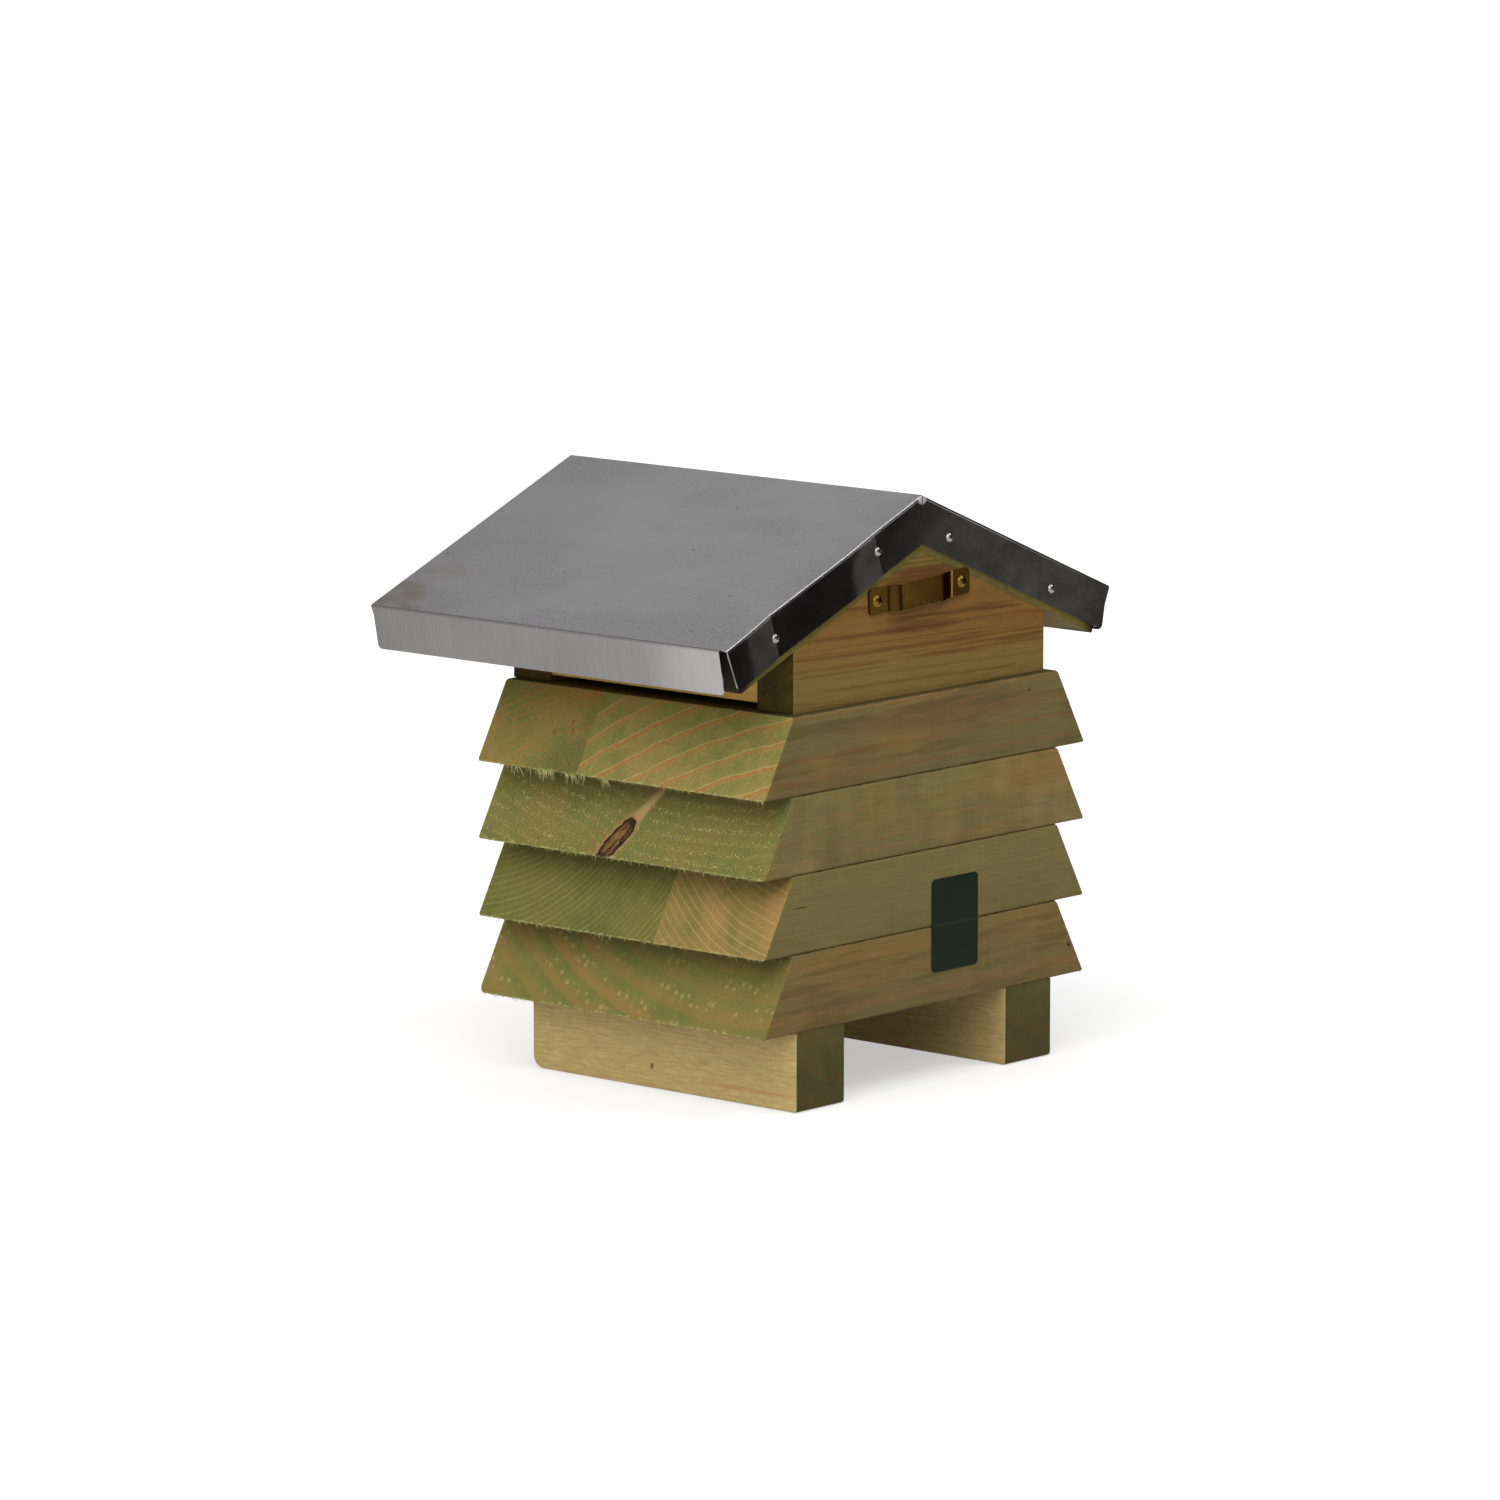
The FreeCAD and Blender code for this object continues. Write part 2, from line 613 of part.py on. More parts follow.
def hanger_middle():
    """Middle of the strap on the back gable. Its higher corner just clears the sheet's gable flange."""
    corner = hanger_turn().multVec(Vector(-HANGER_LENGTH / 2, 0, HANGER_HEIGHT / 2))
    flange_rise = (SHEET_TOP - GABLE_FLANGE_DEPTH) / math.cos(PITCH)
    flange_low = roof_underside(abs(HANGER_CENTRE_X + corner.x)) + flange_rise
    return Vector(HANGER_CENTRE_X, GABLE_BACK_Y, flange_low - HANGER_FLANGE_GAP - corner.z)


def hanger_strap():
    middle = hanger_middle()
    ramp_foot = HANGER_LENGTH / 2 - HANGER_EAR_LENGTH
    ramp_top = ramp_foot - HANGER_RAMP_LENGTH
    low = middle.z - HANGER_HEIGHT / 2

    def at(x, rise):
        return Vector(middle.x + x, middle.y + rise, low)

    wall_side = [at(HANGER_LENGTH / 2, 0), at(ramp_foot, 0), at(ramp_top, HANGER_RAISE),
                 at(-ramp_top, HANGER_RAISE), at(-ramp_foot, 0), at(-HANGER_LENGTH / 2, 0)]
    section = strip_face(wall_side, HANGER_THICKNESS, UP, (HANGER_BEND_RADIUS, HANGER_BEND_RADIUS))
    strap = section.extrude(UP * HANGER_HEIGHT)
    outline = rounded_rectangle(HANGER_LENGTH, HANGER_HEIGHT, HANGER_CORNER_RADIUS)
    reach = HANGER_RAISE + HANGER_THICKNESS
    strap = strap.common(placed(outline.extrude(UP * reach), middle, BACKWARD))
    for index in range(HANGER_TOOTH_COUNT):
        x = middle.x + (index - (HANGER_TOOTH_COUNT - 1) / 2) * HANGER_TOOTH_PITCH
        notch = [(x - HANGER_TOOTH_WIDTH / 2, low), (x + HANGER_TOOTH_WIDTH / 2, low),
                 (x, low + HANGER_TOOTH_DEPTH)]
        strap = strap.cut(prism_along_y(notch, middle.y, middle.y + reach))
    strap.rotate(middle, BACKWARD, HANGER_TILT)
    return strap


def hanger_screw_seats():
    middle = hanger_middle()
    reach = HANGER_LENGTH / 2 - HANGER_SCREW_END_INSET
    return [middle + hanger_turn().multVec(Vector(side * reach, HANGER_THICKNESS, 0)) for side in SIDES.values()]


def sticker():
    joint = tier_bottom(TIER_COUNT - 1)
    face = rounded_rectangle(STICKER_WIDTH, STICKER_HEIGHT, STICKER_CORNER_RADIUS)
    plate = face.extrude(UP * STICKER_THICKNESS)
    return placed(plate, Vector(STICKER_CENTRE_X, TIER_BACK_Y, joint), BACKWARD)


# Assembly: every fastener is placed once, and the same place cuts its hole in what it passes through

def drilled(boards, tools):
    return {name: board.cut(tools) for name, board in boards.items()}


def build():
    nodes = {}
    groups = {}
    tier_screw = wood_screw(TIER_HEIGHT + TIER_SCREW_BITE)
    tier_screw_hole = wood_screw(TIER_HEIGHT + TIER_SCREW_BITE, FIT_CLEARANCE)
    gable_screw = wood_screw(TIER_HEIGHT + GABLE_SCREW_BITE)
    gable_screw_hole = wood_screw(TIER_HEIGHT + GABLE_SCREW_BITE, FIT_CLEARANCE)
    foot_screw_length = FOOT_HEIGHT - FOOT_SCREW_SINK + TIER_SCREW_BITE
    foot_screw = wood_screw(foot_screw_length)
    foot_screw_hole = wood_screw(foot_screw_length, FIT_CLEARANCE)
    sink_radius = WOOD_SCREW_HEAD_DIAMETER / 2 + FIT_CLEARANCE
    sink = turned([(sink_radius, FOOT_SCREW_SINK), (sink_radius, 0)])

    tier_screw_holes = []
    groups["tier_screws"] = []
    for tier in range(2, TIER_COUNT + 1):
        for place in tier_screw_places(tier):
            tier_screw_holes.append(placed(tier_screw_hole, place, DOWN))
            groups["tier_screws"].append(placed(tier_screw, place, DOWN))
    gable_screw_holes = [placed(gable_screw_hole, place, DOWN) for place in gable_screw_places()]
    groups["gable_screws"] = [placed(gable_screw, place, DOWN) for place in gable_screw_places()]
    foot_screw_holes = []
    groups["foot_screws"] = []
    for side in SIDES.values():
        for place in foot_screw_places(side):
            foot_screw_holes.append(placed(foot_screw_hole, place, DOWN))
            foot_screw_holes.append(placed(sink, place, DOWN))
            groups["foot_screws"].append(placed(foot_screw, place, DOWN))

    for tier in range(1, TIER_COUNT + 1):
        tools = tier_holes(tier) + tier_screw_holes
        if tier == 1:
            tools = tools + gable_screw_holes
        if tier == TIER_COUNT:
            tools = tools + foot_screw_holes
        nodes.update(drilled(tier_boards(tier), tools))
    for name, side in SIDES.items():
        nodes[f"{name}_foot"] = foot(side).cut(foot_screw_holes)

    roof_boards = {}
    side_boards = {}
    gables = {"front_gable": gable(GABLE_FRONT_Y), "back_gable": gable(GABLE_BACK_Y - GABLE_THICKNESS)}
    sheet = roof_sheet()
    groups["sheet_nails"] = []
    groups["roof_board_nails"] = []
    for name, side in SIDES.items():
        nail_holes = []
        for seat, outward in sheet_nail_seats(name):
            nail_holes.append(placed(pilot_hole(SHEET_NAIL_DIAMETER, SHEET_NAIL_LENGTH), seat, outward))
            groups["sheet_nails"].append(placed(sheet_nail(), seat, outward))
        sheet = sheet.cut(nail_holes)
        board_holes = []
        for seat, length in board_nail_seats(side):
            board_holes.append(placed(board_nail(length, FIT_CLEARANCE), seat, slope_out(side)))
            groups["roof_board_nails"].append(placed(board_nail(length), seat, slope_out(side)))
        roof_boards[f"{name}_roof_board"] = roof_board(side).cut(nail_holes + board_holes)
        side_boards[f"{name}_side_board"] = side_board(side).cut(board_holes)
        gables = drilled(gables, board_holes)
    nodes.update(roof_boards)
    nodes.update(side_boards)
    nodes["roof_sheet"] = sheet

    hanger_holes = [placed(pilot_hole(HANGER_SCREW_DIAMETER, HANGER_SCREW_LENGTH), seat, BACKWARD)
                    for seat in hanger_screw_seats()]
    gables = drilled(gables, gable_screw_holes + hanger_holes)
    nodes.update(gables)
    nodes["hanger_strap"] = hanger_strap().cut(hanger_holes)
    groups["hanger_screws"] = [placed(hanger_screw(), seat, BACKWARD) for seat in hanger_screw_seats()]
    nodes["blank_sticker"] = sticker()
    for name, fasteners in groups.items():
        nodes[name] = Part.makeCompound(fasteners)
    return nodes


def main():
    os.makedirs("parts", exist_ok=True)
    for name, shape in build().items():
        shape.exportStep(f"parts/{name}.step")
        volumes = [solid.Volume for solid in shape.Solids]
        print(f"{name}: {len(volumes)} solid(s), {sum(volumes):.1f} mm3, valid {shape.isValid()}")


if __name__ == "__main__":
    main()
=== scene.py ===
# %% [markdown]
# # A tiered bee hotel, finished for the camera
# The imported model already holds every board, nail and strap in its place, in metres. This notebook loads
# it as a fixed frame and gives each piece the finish of the real thing: treated pine with its growth rings,
# a folded zinc-coated roof, bright nails, a brass hanger and a small blank sticker.

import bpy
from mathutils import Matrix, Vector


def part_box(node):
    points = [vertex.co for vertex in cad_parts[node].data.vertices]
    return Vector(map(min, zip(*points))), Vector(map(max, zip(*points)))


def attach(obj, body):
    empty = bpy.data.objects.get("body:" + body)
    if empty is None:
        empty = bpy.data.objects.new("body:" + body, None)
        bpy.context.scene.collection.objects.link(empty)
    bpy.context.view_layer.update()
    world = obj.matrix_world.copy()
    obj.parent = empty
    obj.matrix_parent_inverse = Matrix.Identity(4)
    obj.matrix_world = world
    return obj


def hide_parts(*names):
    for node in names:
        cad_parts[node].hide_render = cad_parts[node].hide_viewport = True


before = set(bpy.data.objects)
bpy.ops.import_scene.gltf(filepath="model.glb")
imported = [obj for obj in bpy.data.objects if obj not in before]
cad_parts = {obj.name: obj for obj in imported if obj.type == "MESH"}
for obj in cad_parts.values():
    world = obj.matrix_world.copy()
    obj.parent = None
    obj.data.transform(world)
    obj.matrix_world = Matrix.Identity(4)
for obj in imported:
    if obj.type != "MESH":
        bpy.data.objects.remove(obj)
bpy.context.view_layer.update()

# %% [markdown]
# ## The camera
# The hotel is seen from behind and a little above, through a long lens, so its upright edges stay almost
# parallel. The direction, distance and lens come from fitting a camera to the corners of the tiers.

# %% Camera
import math

import bmesh
import bpy
from mathutils import Matrix, Vector

scene = bpy.context.scene
scene.view_settings.view_transform = "Standard"

view_centre = Vector((0.005576, 0.007602, 0.120425))
azimuth = math.radians(131.4242)
elevation = math.radians(9.2671)
towards_camera = Vector((
    math.sin(azimuth) * math.cos(elevation),
    -math.cos(azimuth) * math.cos(elevation),
    math.sin(elevation),
))
distance = 3.29674
lens = bpy.data.cameras.new("long_lens")
lens.lens = 205.599
lens.sensor_width = 36.0
camera = bpy.data.objects.new("long_lens", lens)
camera.location = view_centre + towards_camera * distance
camera.rotation_euler = towards_camera.to_track_quat("Z", "Y").to_euler()
scene.collection.objects.link(camera)
scene.camera = camera
print("camera at", [round(v, 3) for v in camera.location])

# %% [markdown]
# ## Node helpers
# Every finish below is a small network of shader nodes. Adding them by hand takes four lines each, so one
# helper adds a node, sets its options and fills its inputs. A socket knows the tree it belongs to, so the
# helper finds the tree by itself. Short helpers on top of it do a sum, a soft step, a mix of two colours
# and a noise that is stretched along one direction.


# %% Adding nodes
def feed(made, inputs):
    """Links or sets each input of a node."""
    for key, value in inputs.items():
        if isinstance(value, bpy.types.NodeSocket):
            made.id_data.links.new(value, made.inputs[key])
        else:
            made.inputs[key].default_value = value


def node(kind, inputs, tree=None, **options):
    """Adds a shader node, by default to the tree that its linked inputs belong to."""
    if tree is None:
        linked = [value for value in inputs.values() if isinstance(value, bpy.types.NodeSocket)]
        tree = linked[0].id_data
    made = tree.nodes.new("ShaderNode" + kind)
    for option, value in options.items():
        setattr(made, option, value)
    feed(made, inputs)
    return made


def new_material(name):
    """A material with its node tree and the shader that ends it."""
    material = bpy.data.materials.new(name)
    material.use_nodes = True
    return material, material.node_tree, material.node_tree.nodes["Principled BSDF"]


# %% Sums, places and soft steps
def calc(operation, *values):
    return node("Math", dict(enumerate(values)), operation=operation).outputs[0]


def times(product, *others):
    for other in others:
        product = calc("MULTIPLY", product, other)
    return product


def scaled(value, factor, start):
    """The value times a factor, added to a start."""
    return calc("MULTIPLY_ADD", value, factor, start)


def vector(operation, *values):
    """A sum on vectors. A length, a distance and a dot product come out as one number."""
    made = node("VectorMath", dict(enumerate(values)), operation=operation)
    return made.outputs["Value" if operation in ("LENGTH", "DISTANCE", "DOT_PRODUCT") else "Vector"]


def own_place(tree):
    """Each point's place on the piece itself, in metres."""
    return node("TexCoord", {}, tree).outputs["Object"]


def coord(place, letter):
    return node("SeparateXYZ", {0: place}).outputs[letter]


def fade(value, start, end):
    """0 before start, 1 after end, with a soft step between. It falls where end is below start."""
    inputs = {"Value": value, "From Min": start, "From Max": end}
    return node("MapRange", inputs, interpolation_type="SMOOTHSTEP").outputs[0]


# %% Colours and noise
def blend(amount, first, second):
    return node("Mix", {0: amount, 6: first, 7: second}, data_type="RGBA").outputs[2]


def noise(place, scales, detail=2.0, roughness=0.5):
    """Noise with so many features in a metre along each axis."""
    stretched = vector("MULTIPLY", place, scales)
    inputs = {"Vector": stretched, "Scale": 1.0, "Detail": detail, "Roughness": roughness}
    return node("TexNoise", inputs).outputs["Fac"]


def paint(red, green, blue):
    """A colour as it looks on a screen, 0 to 255, turned into the linear values that shaders use."""
    linear = []
    for level in (red, green, blue):
        share = level / 255
        if share <= 0.04045:
            linear.append(share / 12.92)
        else:
            linear.append(((share + 0.055) / 1.055) ** 2.4)
    return (*linear, 1.0)


print("mid grey in linear light:", round(paint(128, 128, 128)[0], 3))

# %% [markdown]
# ## Floor, studio and lamps
# The hotel stands on a white sweep. A flat floor that runs on for many metres gives the same picture as a
# curved one, because the camera looks down on it. The floor throws back only part of the light, and adds
# some of its own for the camera and for metal, so that it looks white and still keeps the shadow. One broad
# soft lamp stands to the left, and a weaker one shines from above. To the right the room is dark up to
# about the lamp's height, as behind a black flag in a studio.


# %% Floor
def as_object(shape, name):
    """Turns a bmesh into an object of the scene."""
    mesh = bpy.data.meshes.new(name)
    shape.to_mesh(mesh)
    shape.free()
    made = bpy.data.objects.new(name, mesh)
    scene.collection.objects.link(made)
    return made


def settle(shape, turn, axis, seat):
    """Turns a shape about an axis through the origin, and moves it to its seat."""
    bmesh.ops.rotate(shape, verts=shape.verts, matrix=Matrix.Rotation(turn, 3, axis))
    bmesh.ops.translate(shape, verts=shape.verts, vec=seat)


def flat_sheet(name, size, centre, turn=0.0):
    """A level rectangle for the stage."""
    shape = bmesh.new()
    bmesh.ops.create_grid(shape, x_segments=1, y_segments=1, size=0.5)
    bmesh.ops.scale(shape, verts=shape.verts, vec=(size[0], size[1], 1.0))
    settle(shape, turn, "Z", centre)
    sheet = as_object(shape, name)
    return sheet


FLOOR_SIDE, FLOOR_DROP, FLOOR_GLOW = 32.0, 0.0002, 0.48
FLOOR_GREY = (0.62, 0.62, 0.62, 1.0)
MATTE = {"Roughness": 0.9, "Specular IOR Level": 0.0}
floor = flat_sheet("studio_floor", (FLOOR_SIDE, FLOOR_SIDE), (0.0, 0.0, -FLOOR_DROP))
floor_paint, tree, shader = new_material("white_sweep")
path = node("LightPath", {}, tree)
seen = calc("MAXIMUM", path.outputs["Is Camera Ray"], path.outputs["Is Glossy Ray"])
seen = calc("MAXIMUM", seen, path.outputs["Is Transmission Ray"])
feed(shader, {
    **MATTE, "Base Color": FLOOR_GREY, "Emission Color": (1.0, 1.0, 1.0, 1.0),
    "Emission Strength": times(seen, FLOOR_GLOW),
})
floor.data.materials.append(floor_paint)
print("floor side:", floor.dimensions.x)

# %% World and lamps
flag_side = Vector((-0.75, 0.66, 0.0)).normalized()
studio = bpy.data.worlds.new("studio")
studio.use_nodes = True
scene.world = studio
sky = studio.node_tree
direction = node("TexCoord", {}, sky).outputs["Generated"]
flagged = vector("DOT_PRODUCT", direction, flag_side)
height = coord(direction, "Z")
flag = times(fade(flagged, 0.0, 0.75), fade(height, 0.8, 0.5))
walls = blend(flag, (0.66, 0.655, 0.66, 1.0), (0.05, 0.047, 0.044, 1.0))
feed(sky.nodes["Background"], {"Color": walls})

for name, energy, spread, towards in (
    ("soft_lamp", 1.75, 64.0, (0.68, 0.2, 0.68)),
    ("top_lamp", 0.6, 22.0, (-0.33, 0.43, 0.84)),
):
    light = bpy.data.lights.new(name, "SUN")
    light.energy = energy
    light.angle = math.radians(spread)
    lamp = bpy.data.objects.new(name, light)
    lamp.rotation_euler = Vector(towards).normalized().to_track_quat("Z", "Y").to_euler()
    scene.collection.objects.link(lamp)
    print(name, "shines from", towards)

# %% [markdown]
# The back flange of the roof and the brass hanger mirror the floor to the right of the camera. Two cards
# lie there, a black one and a dark grey one, and only reflections see them. They give the metal its deep
# tone, and the step between them is what makes dents in the flange show.

# %% Dark cards
CARD_LENGTH, CARD_WIDTH, CARD_SHIFT = 3.2, 2.4, 0.4
mirrored_ridge = Vector((-1.214, 1.107, 0.004))
card_line = Vector((-0.788, 0.616, 0.0))
card_across = Vector((0.616, 0.788, 0.0))
for name, side, grey in (("black_card", 1.0, 0.022), ("grey_card", -1.0, 0.11)):
    centre = mirrored_ridge + card_line * CARD_SHIFT + card_across * side * CARD_WIDTH / 2
    card = flat_sheet(name, (CARD_WIDTH, CARD_LENGTH), centre, math.atan2(card_across.y, card_across.x))
    card_paint, _, shader = new_material(name)
    feed(shader, {**MATTE, "Base Color": (grey, grey * 0.95, grey * 0.9, 1.0)})
    card.data.materials.append(card_paint)
    for ray in ("camera", "diffuse", "shadow", "transmission"):
        setattr(card, "visible_" + ray, False)
    print(name, "at", [round(v, 2) for v in centre])

# %% [markdown]
# ## Treated pine
# The boards are softwood that was pressed full of a green preservative. Sawn across, it shows growth rings;
# along the board the same rings show as streaks. A picture wrapped round the board would break at every
# edge, so the rings are solid: each point of the wood knows its distance from the middle of the tree, and
# that distance, cut into equal steps, gives the rings. The middle of the tree differs from board to board.


# %% The rings of one board
from types import SimpleNamespace

FACE_OLIVE = (126, 114, 68)
FACE_TAN = (140, 114, 66)


def pine(name, pith, ring, turn=0.0, tilt=0.0, wobble=0.0012, seed=0.0, phase=0.0):
    """Starts a board's wood: rings round a line at pith (across, up), with the grain along X or turned."""
    material, tree, shader = new_material(name)
    coords = node("TexCoord", {}, tree)
    turned = {"Vector": coords.outputs["Object"], "Rotation": (0.0, tilt, turn)}
    at = node("Mapping", turned).outputs[0]
    place = vector("ADD", at, (seed, 0.0, 0.0))
    turned = {"Vector": coords.outputs["Normal"], "Rotation": (0.0, 0.0, turn)}
    facing = node("Mapping", turned).outputs[0]
    along = calc("ABSOLUTE", coord(facing, "X"))
    from_pith = vector("SUBTRACT", at, (0.0, *pith))
    radius = vector("LENGTH", vector("MULTIPLY", from_pith, (0.0, 1.0, 1.0)))
    sway = calc("SUBTRACT", noise(place, (6.0, 50.0, 50.0), 5.0, 0.62), 0.5)
    count = calc("ADD", calc("DIVIDE", scaled(sway, wobble, radius), ring), phase)
    return SimpleNamespace(
        material=material, shader=shader, at=at, place=place, count=count, end=fade(along, 0.45, 0.75),
    )


def ground(wood, *end_tones, faces=(FACE_OLIVE, FACE_TAN)):
    """Cloudy ground colours: three for the end grain and two for the long faces."""
    dark, light, other = [paint(*tone) for tone in end_tones]
    cloud = fade(noise(wood.place, (25.0, 130.0, 130.0), 4.0, 0.6), 0.36, 0.64)
    patch = fade(noise(wood.place, (9.0, 34.0, 34.0), 2.0), 0.42, 0.68)
    end = blend(patch, blend(cloud, dark, light), other)
    face = blend(patch, *[paint(*tone) for tone in faces])
    wood.colour = blend(wood.end, face, end)


def split(wood, on_end, on_face):
    """An amount that differs between the end grain and the long faces."""
    return scaled(wood.end, on_end - on_face, on_face)


def tint(wood, amount, tone, on_end=1.0, on_face=1.0):
    """Lays a tone over the wood's colour, as strongly as amount says from place to place."""
    wood.colour = blend(times(amount, split(wood, on_end, on_face)), wood.colour, tone)


# %% Lines, flecks and dots
def ring_lines(wood, end_tone, face_tone, width, on_end, on_face, seed=0.0, broken=0.0):
    """A line of late wood at the end of each year's ring, stronger in some years than in others."""
    counted = calc("ADD", wood.count, 100.0)
    wood.within = calc("FRACT", counted)
    year = calc("ADD", calc("FLOOR", counted), seed)
    strength = node("TexWhiteNoise", {"W": year}, noise_dimensions="1D").outputs["Value"]
    line = fade(wood.within, 1.0 - width, 1.0 - 0.3 * width)
    line = times(line, scaled(strength, 0.7, 0.3))
    gaps = fade(noise(wood.place, (30.0, 260.0, 260.0), 3.0), 0.35, 0.6)
    wood.line = times(line, scaled(gaps, broken, 1.0 - broken))
    tint(wood, wood.line, blend(wood.end, face_tone, end_tone), on_end, on_face)


def early_wood(wood, tone, width, on_end):
    """The pale wood on the end grain that starts a year's ring."""
    tint(wood, fade(wood.within, width, 0.0), tone, on_end, 0.0)


def late_wood(wood, tone, width, on_end):
    """A warm band on the end grain that grows towards the end of a year's ring."""
    tint(wood, fade(wood.within, 1.0 - width, 1.0), tone, on_end, 0.0)


def flecks(wood, tone, size, least, amount, in_rows=0.85):
    """Small specks on the end grain, thickest just before each ring's end where they lie in rows."""
    per_metre = 1.0 / size
    spots = noise(wood.place, (90.0, per_metre, per_metre), 1.0)
    spots = fade(spots, least, least + 0.1)
    row = times(fade(wood.within, 0.35, 0.7), fade(wood.within, 1.0, 0.85))
    row = scaled(row, in_rows, 1.0 - in_rows)
    tint(wood, times(spots, row), tone, amount, 0.0)


def dots(wood, tone, spacing, radius, share, amount):
    """Round resin dots in rows along the rings, at most one in each cell of the given spacing."""
    spot = node("SeparateXYZ", {0: wood.at})
    flat = node("CombineXYZ", {"X": spot.outputs["Y"], "Y": spot.outputs["Z"]}).outputs[0]
    cells = node("TexVoronoi", {"Vector": flat, "Scale": 1.0 / spacing}, voronoi_dimensions="2D")
    chosen = node("SeparateColor", {0: cells.outputs["Color"]}).outputs[0]
    row = times(fade(wood.within, 0.15, 0.3), fade(wood.within, 0.75, 0.6))
    group = fade(noise(wood.place, (20.0, 55.0, 55.0), 1.0), 0.4, 0.55)
    kept = times(fade(chosen, 1.0 - share, 1.05 - share), row, group)
    dot = fade(cells.outputs["Distance"], radius / spacing * 1.7, radius / spacing * 0.2)
    tint(wood, times(dot, kept), tone, amount, 0.0)


# %% Stains, marks and wear
def stain(wood, tone, size, least, on_end, on_face, stretch=4.0):
    """Soft patches of another tone, drawn out along the grain."""
    patch = noise(wood.place, (1.0 / size / stretch, 1.0 / size, 1.0 / size), 3.0)
    tint(wood, fade(patch, least, least + 0.2), tone, on_end, on_face)


def mark(wood, centre, radii, tone, amount):
    """One soft oval mark at a place on the board."""
    oval = vector("LENGTH", vector("DIVIDE", vector("SUBTRACT", wood.at, centre), radii))
    tint(wood, times(fade(oval, 1.0, 0.4), amount), tone)


def shade(wood, amount):
    """Darkens or lightens the wood: 1 leaves it."""
    wood.colour = vector("MULTIPLY", wood.colour, amount)


def saw_marks(wood, depth):
    """Faint marks across the long faces, where the saw and the planer went, and lighter patches."""
    teeth = calc("SUBTRACT", noise(wood.place, (520.0, 60.0, 60.0), 2.0), 0.5)
    bands = calc("SUBTRACT", noise(wood.place, (80.0, 30.0, 30.0), 3.0), 0.5)
    marks = times(scaled(teeth, 0.35, bands), split(wood, 0.0, depth))
    shade(wood, calc("ADD", marks, 1.0))


def fibres(wood, on_end=0.45, on_face=0.3):
    """Fine dark and light fibres, which are specks and pores on the end grain."""
    wood.fine = noise(wood.place, (80.0, 1150.0, 1150.0), 3.0, 0.7)
    swing = times(calc("SUBTRACT", wood.fine, 0.5), split(wood, on_end * 2, on_face * 2))
    shade(wood, calc("ADD", swing, 1.0))


def edges(wood, low, high, torn=None):
    """Dark dirt along a board's joints on its long faces, and pale torn wood low on the end grain."""
    level = coord(wood.at, "Z")
    ragged = noise(wood.place, (160.0, 160.0, 20.0), 3.0)
    reach = calc("MAXIMUM", scaled(ragged, 0.0016, -0.0005), 0.00005)
    above = calc("SUBTRACT", level, low)
    below = calc("SUBTRACT", high, level)
    nearest = calc("DIVIDE", calc("MINIMUM", above, below), reach)
    tint(wood, fade(nearest, 1.0, 0.2), paint(40, 32, 14), 0.0, 0.6)
    if torn:
        frayed = noise(wood.place, (300.0, 420.0, 60.0), 3.0, 0.6)
        lip = calc("SUBTRACT", scaled(frayed, 0.0034, -0.0011), above)
        tint(wood, fade(lip, 0.0, 0.0004), torn, 0.45, 0.0)


# %% The surface, and tones that boards share
def dress(wood):
    """Ends a board's wood: colour, a dull surface, and relief from fibres and late wood."""
    height = scaled(wood.line, 0.4, wood.fine)
    relief = node("Bump", {"Strength": 0.5, "Distance": 0.0004, "Height": height})
    feed(wood.shader, {
        "Base Color": wood.colour, "Roughness": scaled(wood.fine, 0.2, 0.7), "Specular IOR Level": 0.2,
        "Normal": relief.outputs[0],
    })
    return wood.material


FACE_DARK = paint(98, 84, 46)
RUST = paint(166, 96, 48)
TORN = paint(176, 172, 112)
TIER_HEIGHT = 0.030
HEAD_BASE = 0.1505
TIER_BACK = 0.0926
print("pine helpers ready, tiers of", TIER_HEIGHT * 1000, "mm")

# %% [markdown]
# ## Easing a board's edges
# A sawn edge is never a perfect corner, and a perfect corner catches no light. The board's own shape is
# right already, so its mesh is copied, its triangles are joined into whole faces, and its outer corners get
# a narrow round. One bevel is only as wide as its tightest corner allows, so screw holes are left out and
# the rims of the nesting holes get theirs in a second go. Corners in a glue joint stay sharp.


# %% Copies and finished pieces
def merged_copy(node_name):
    """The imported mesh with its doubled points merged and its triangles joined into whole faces."""
    shape = bmesh.new()
    shape.from_mesh(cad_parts[node_name].data)
    bmesh.ops.remove_doubles(shape, verts=shape.verts, dist=1e-6)
    bmesh.ops.dissolve_limit(
        shape, angle_limit=math.radians(0.5), verts=shape.verts, edges=shape.edges,
        use_dissolve_boundaries=False, delimit={"NORMAL"},
    )
    return shape


def finished(shape, name, replaced, crease=30.0):
    """Turns a bmesh into a smooth-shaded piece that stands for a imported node."""
    for face in shape.faces:
        face.smooth = True
    piece = as_object(shape, name)
    piece.data.set_sharp_from_angle(angle=math.radians(crease))
    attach(piece, "root")
    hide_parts(replaced)
    print(name, "faces:", len(piece.data.polygons))
    return piece


# %% Outer corners and rims
NEST_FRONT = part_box("tier_2_board")[0].y
FLUSH = 0.00002
BOARD_CREASE = 18.0


def lies_at(edge, y):
    return all(abs(vert.co.y - y) < FLUSH for vert in edge.verts)


def outer_corners(shape, least_angle):
    """The sharp edges that have the whole board behind both of their faces."""
    points = [vert.co.copy() for vert in shape.verts]
    found = []
    for edge in shape.edges:
        if edge.calc_face_angle(0.0) < math.radians(least_angle):
            continue
        start = edge.verts[0].co
        if all((point - start).dot(face.normal) < FLUSH for face in edge.link_faces for point in points):
            found.append(edge)
    return found


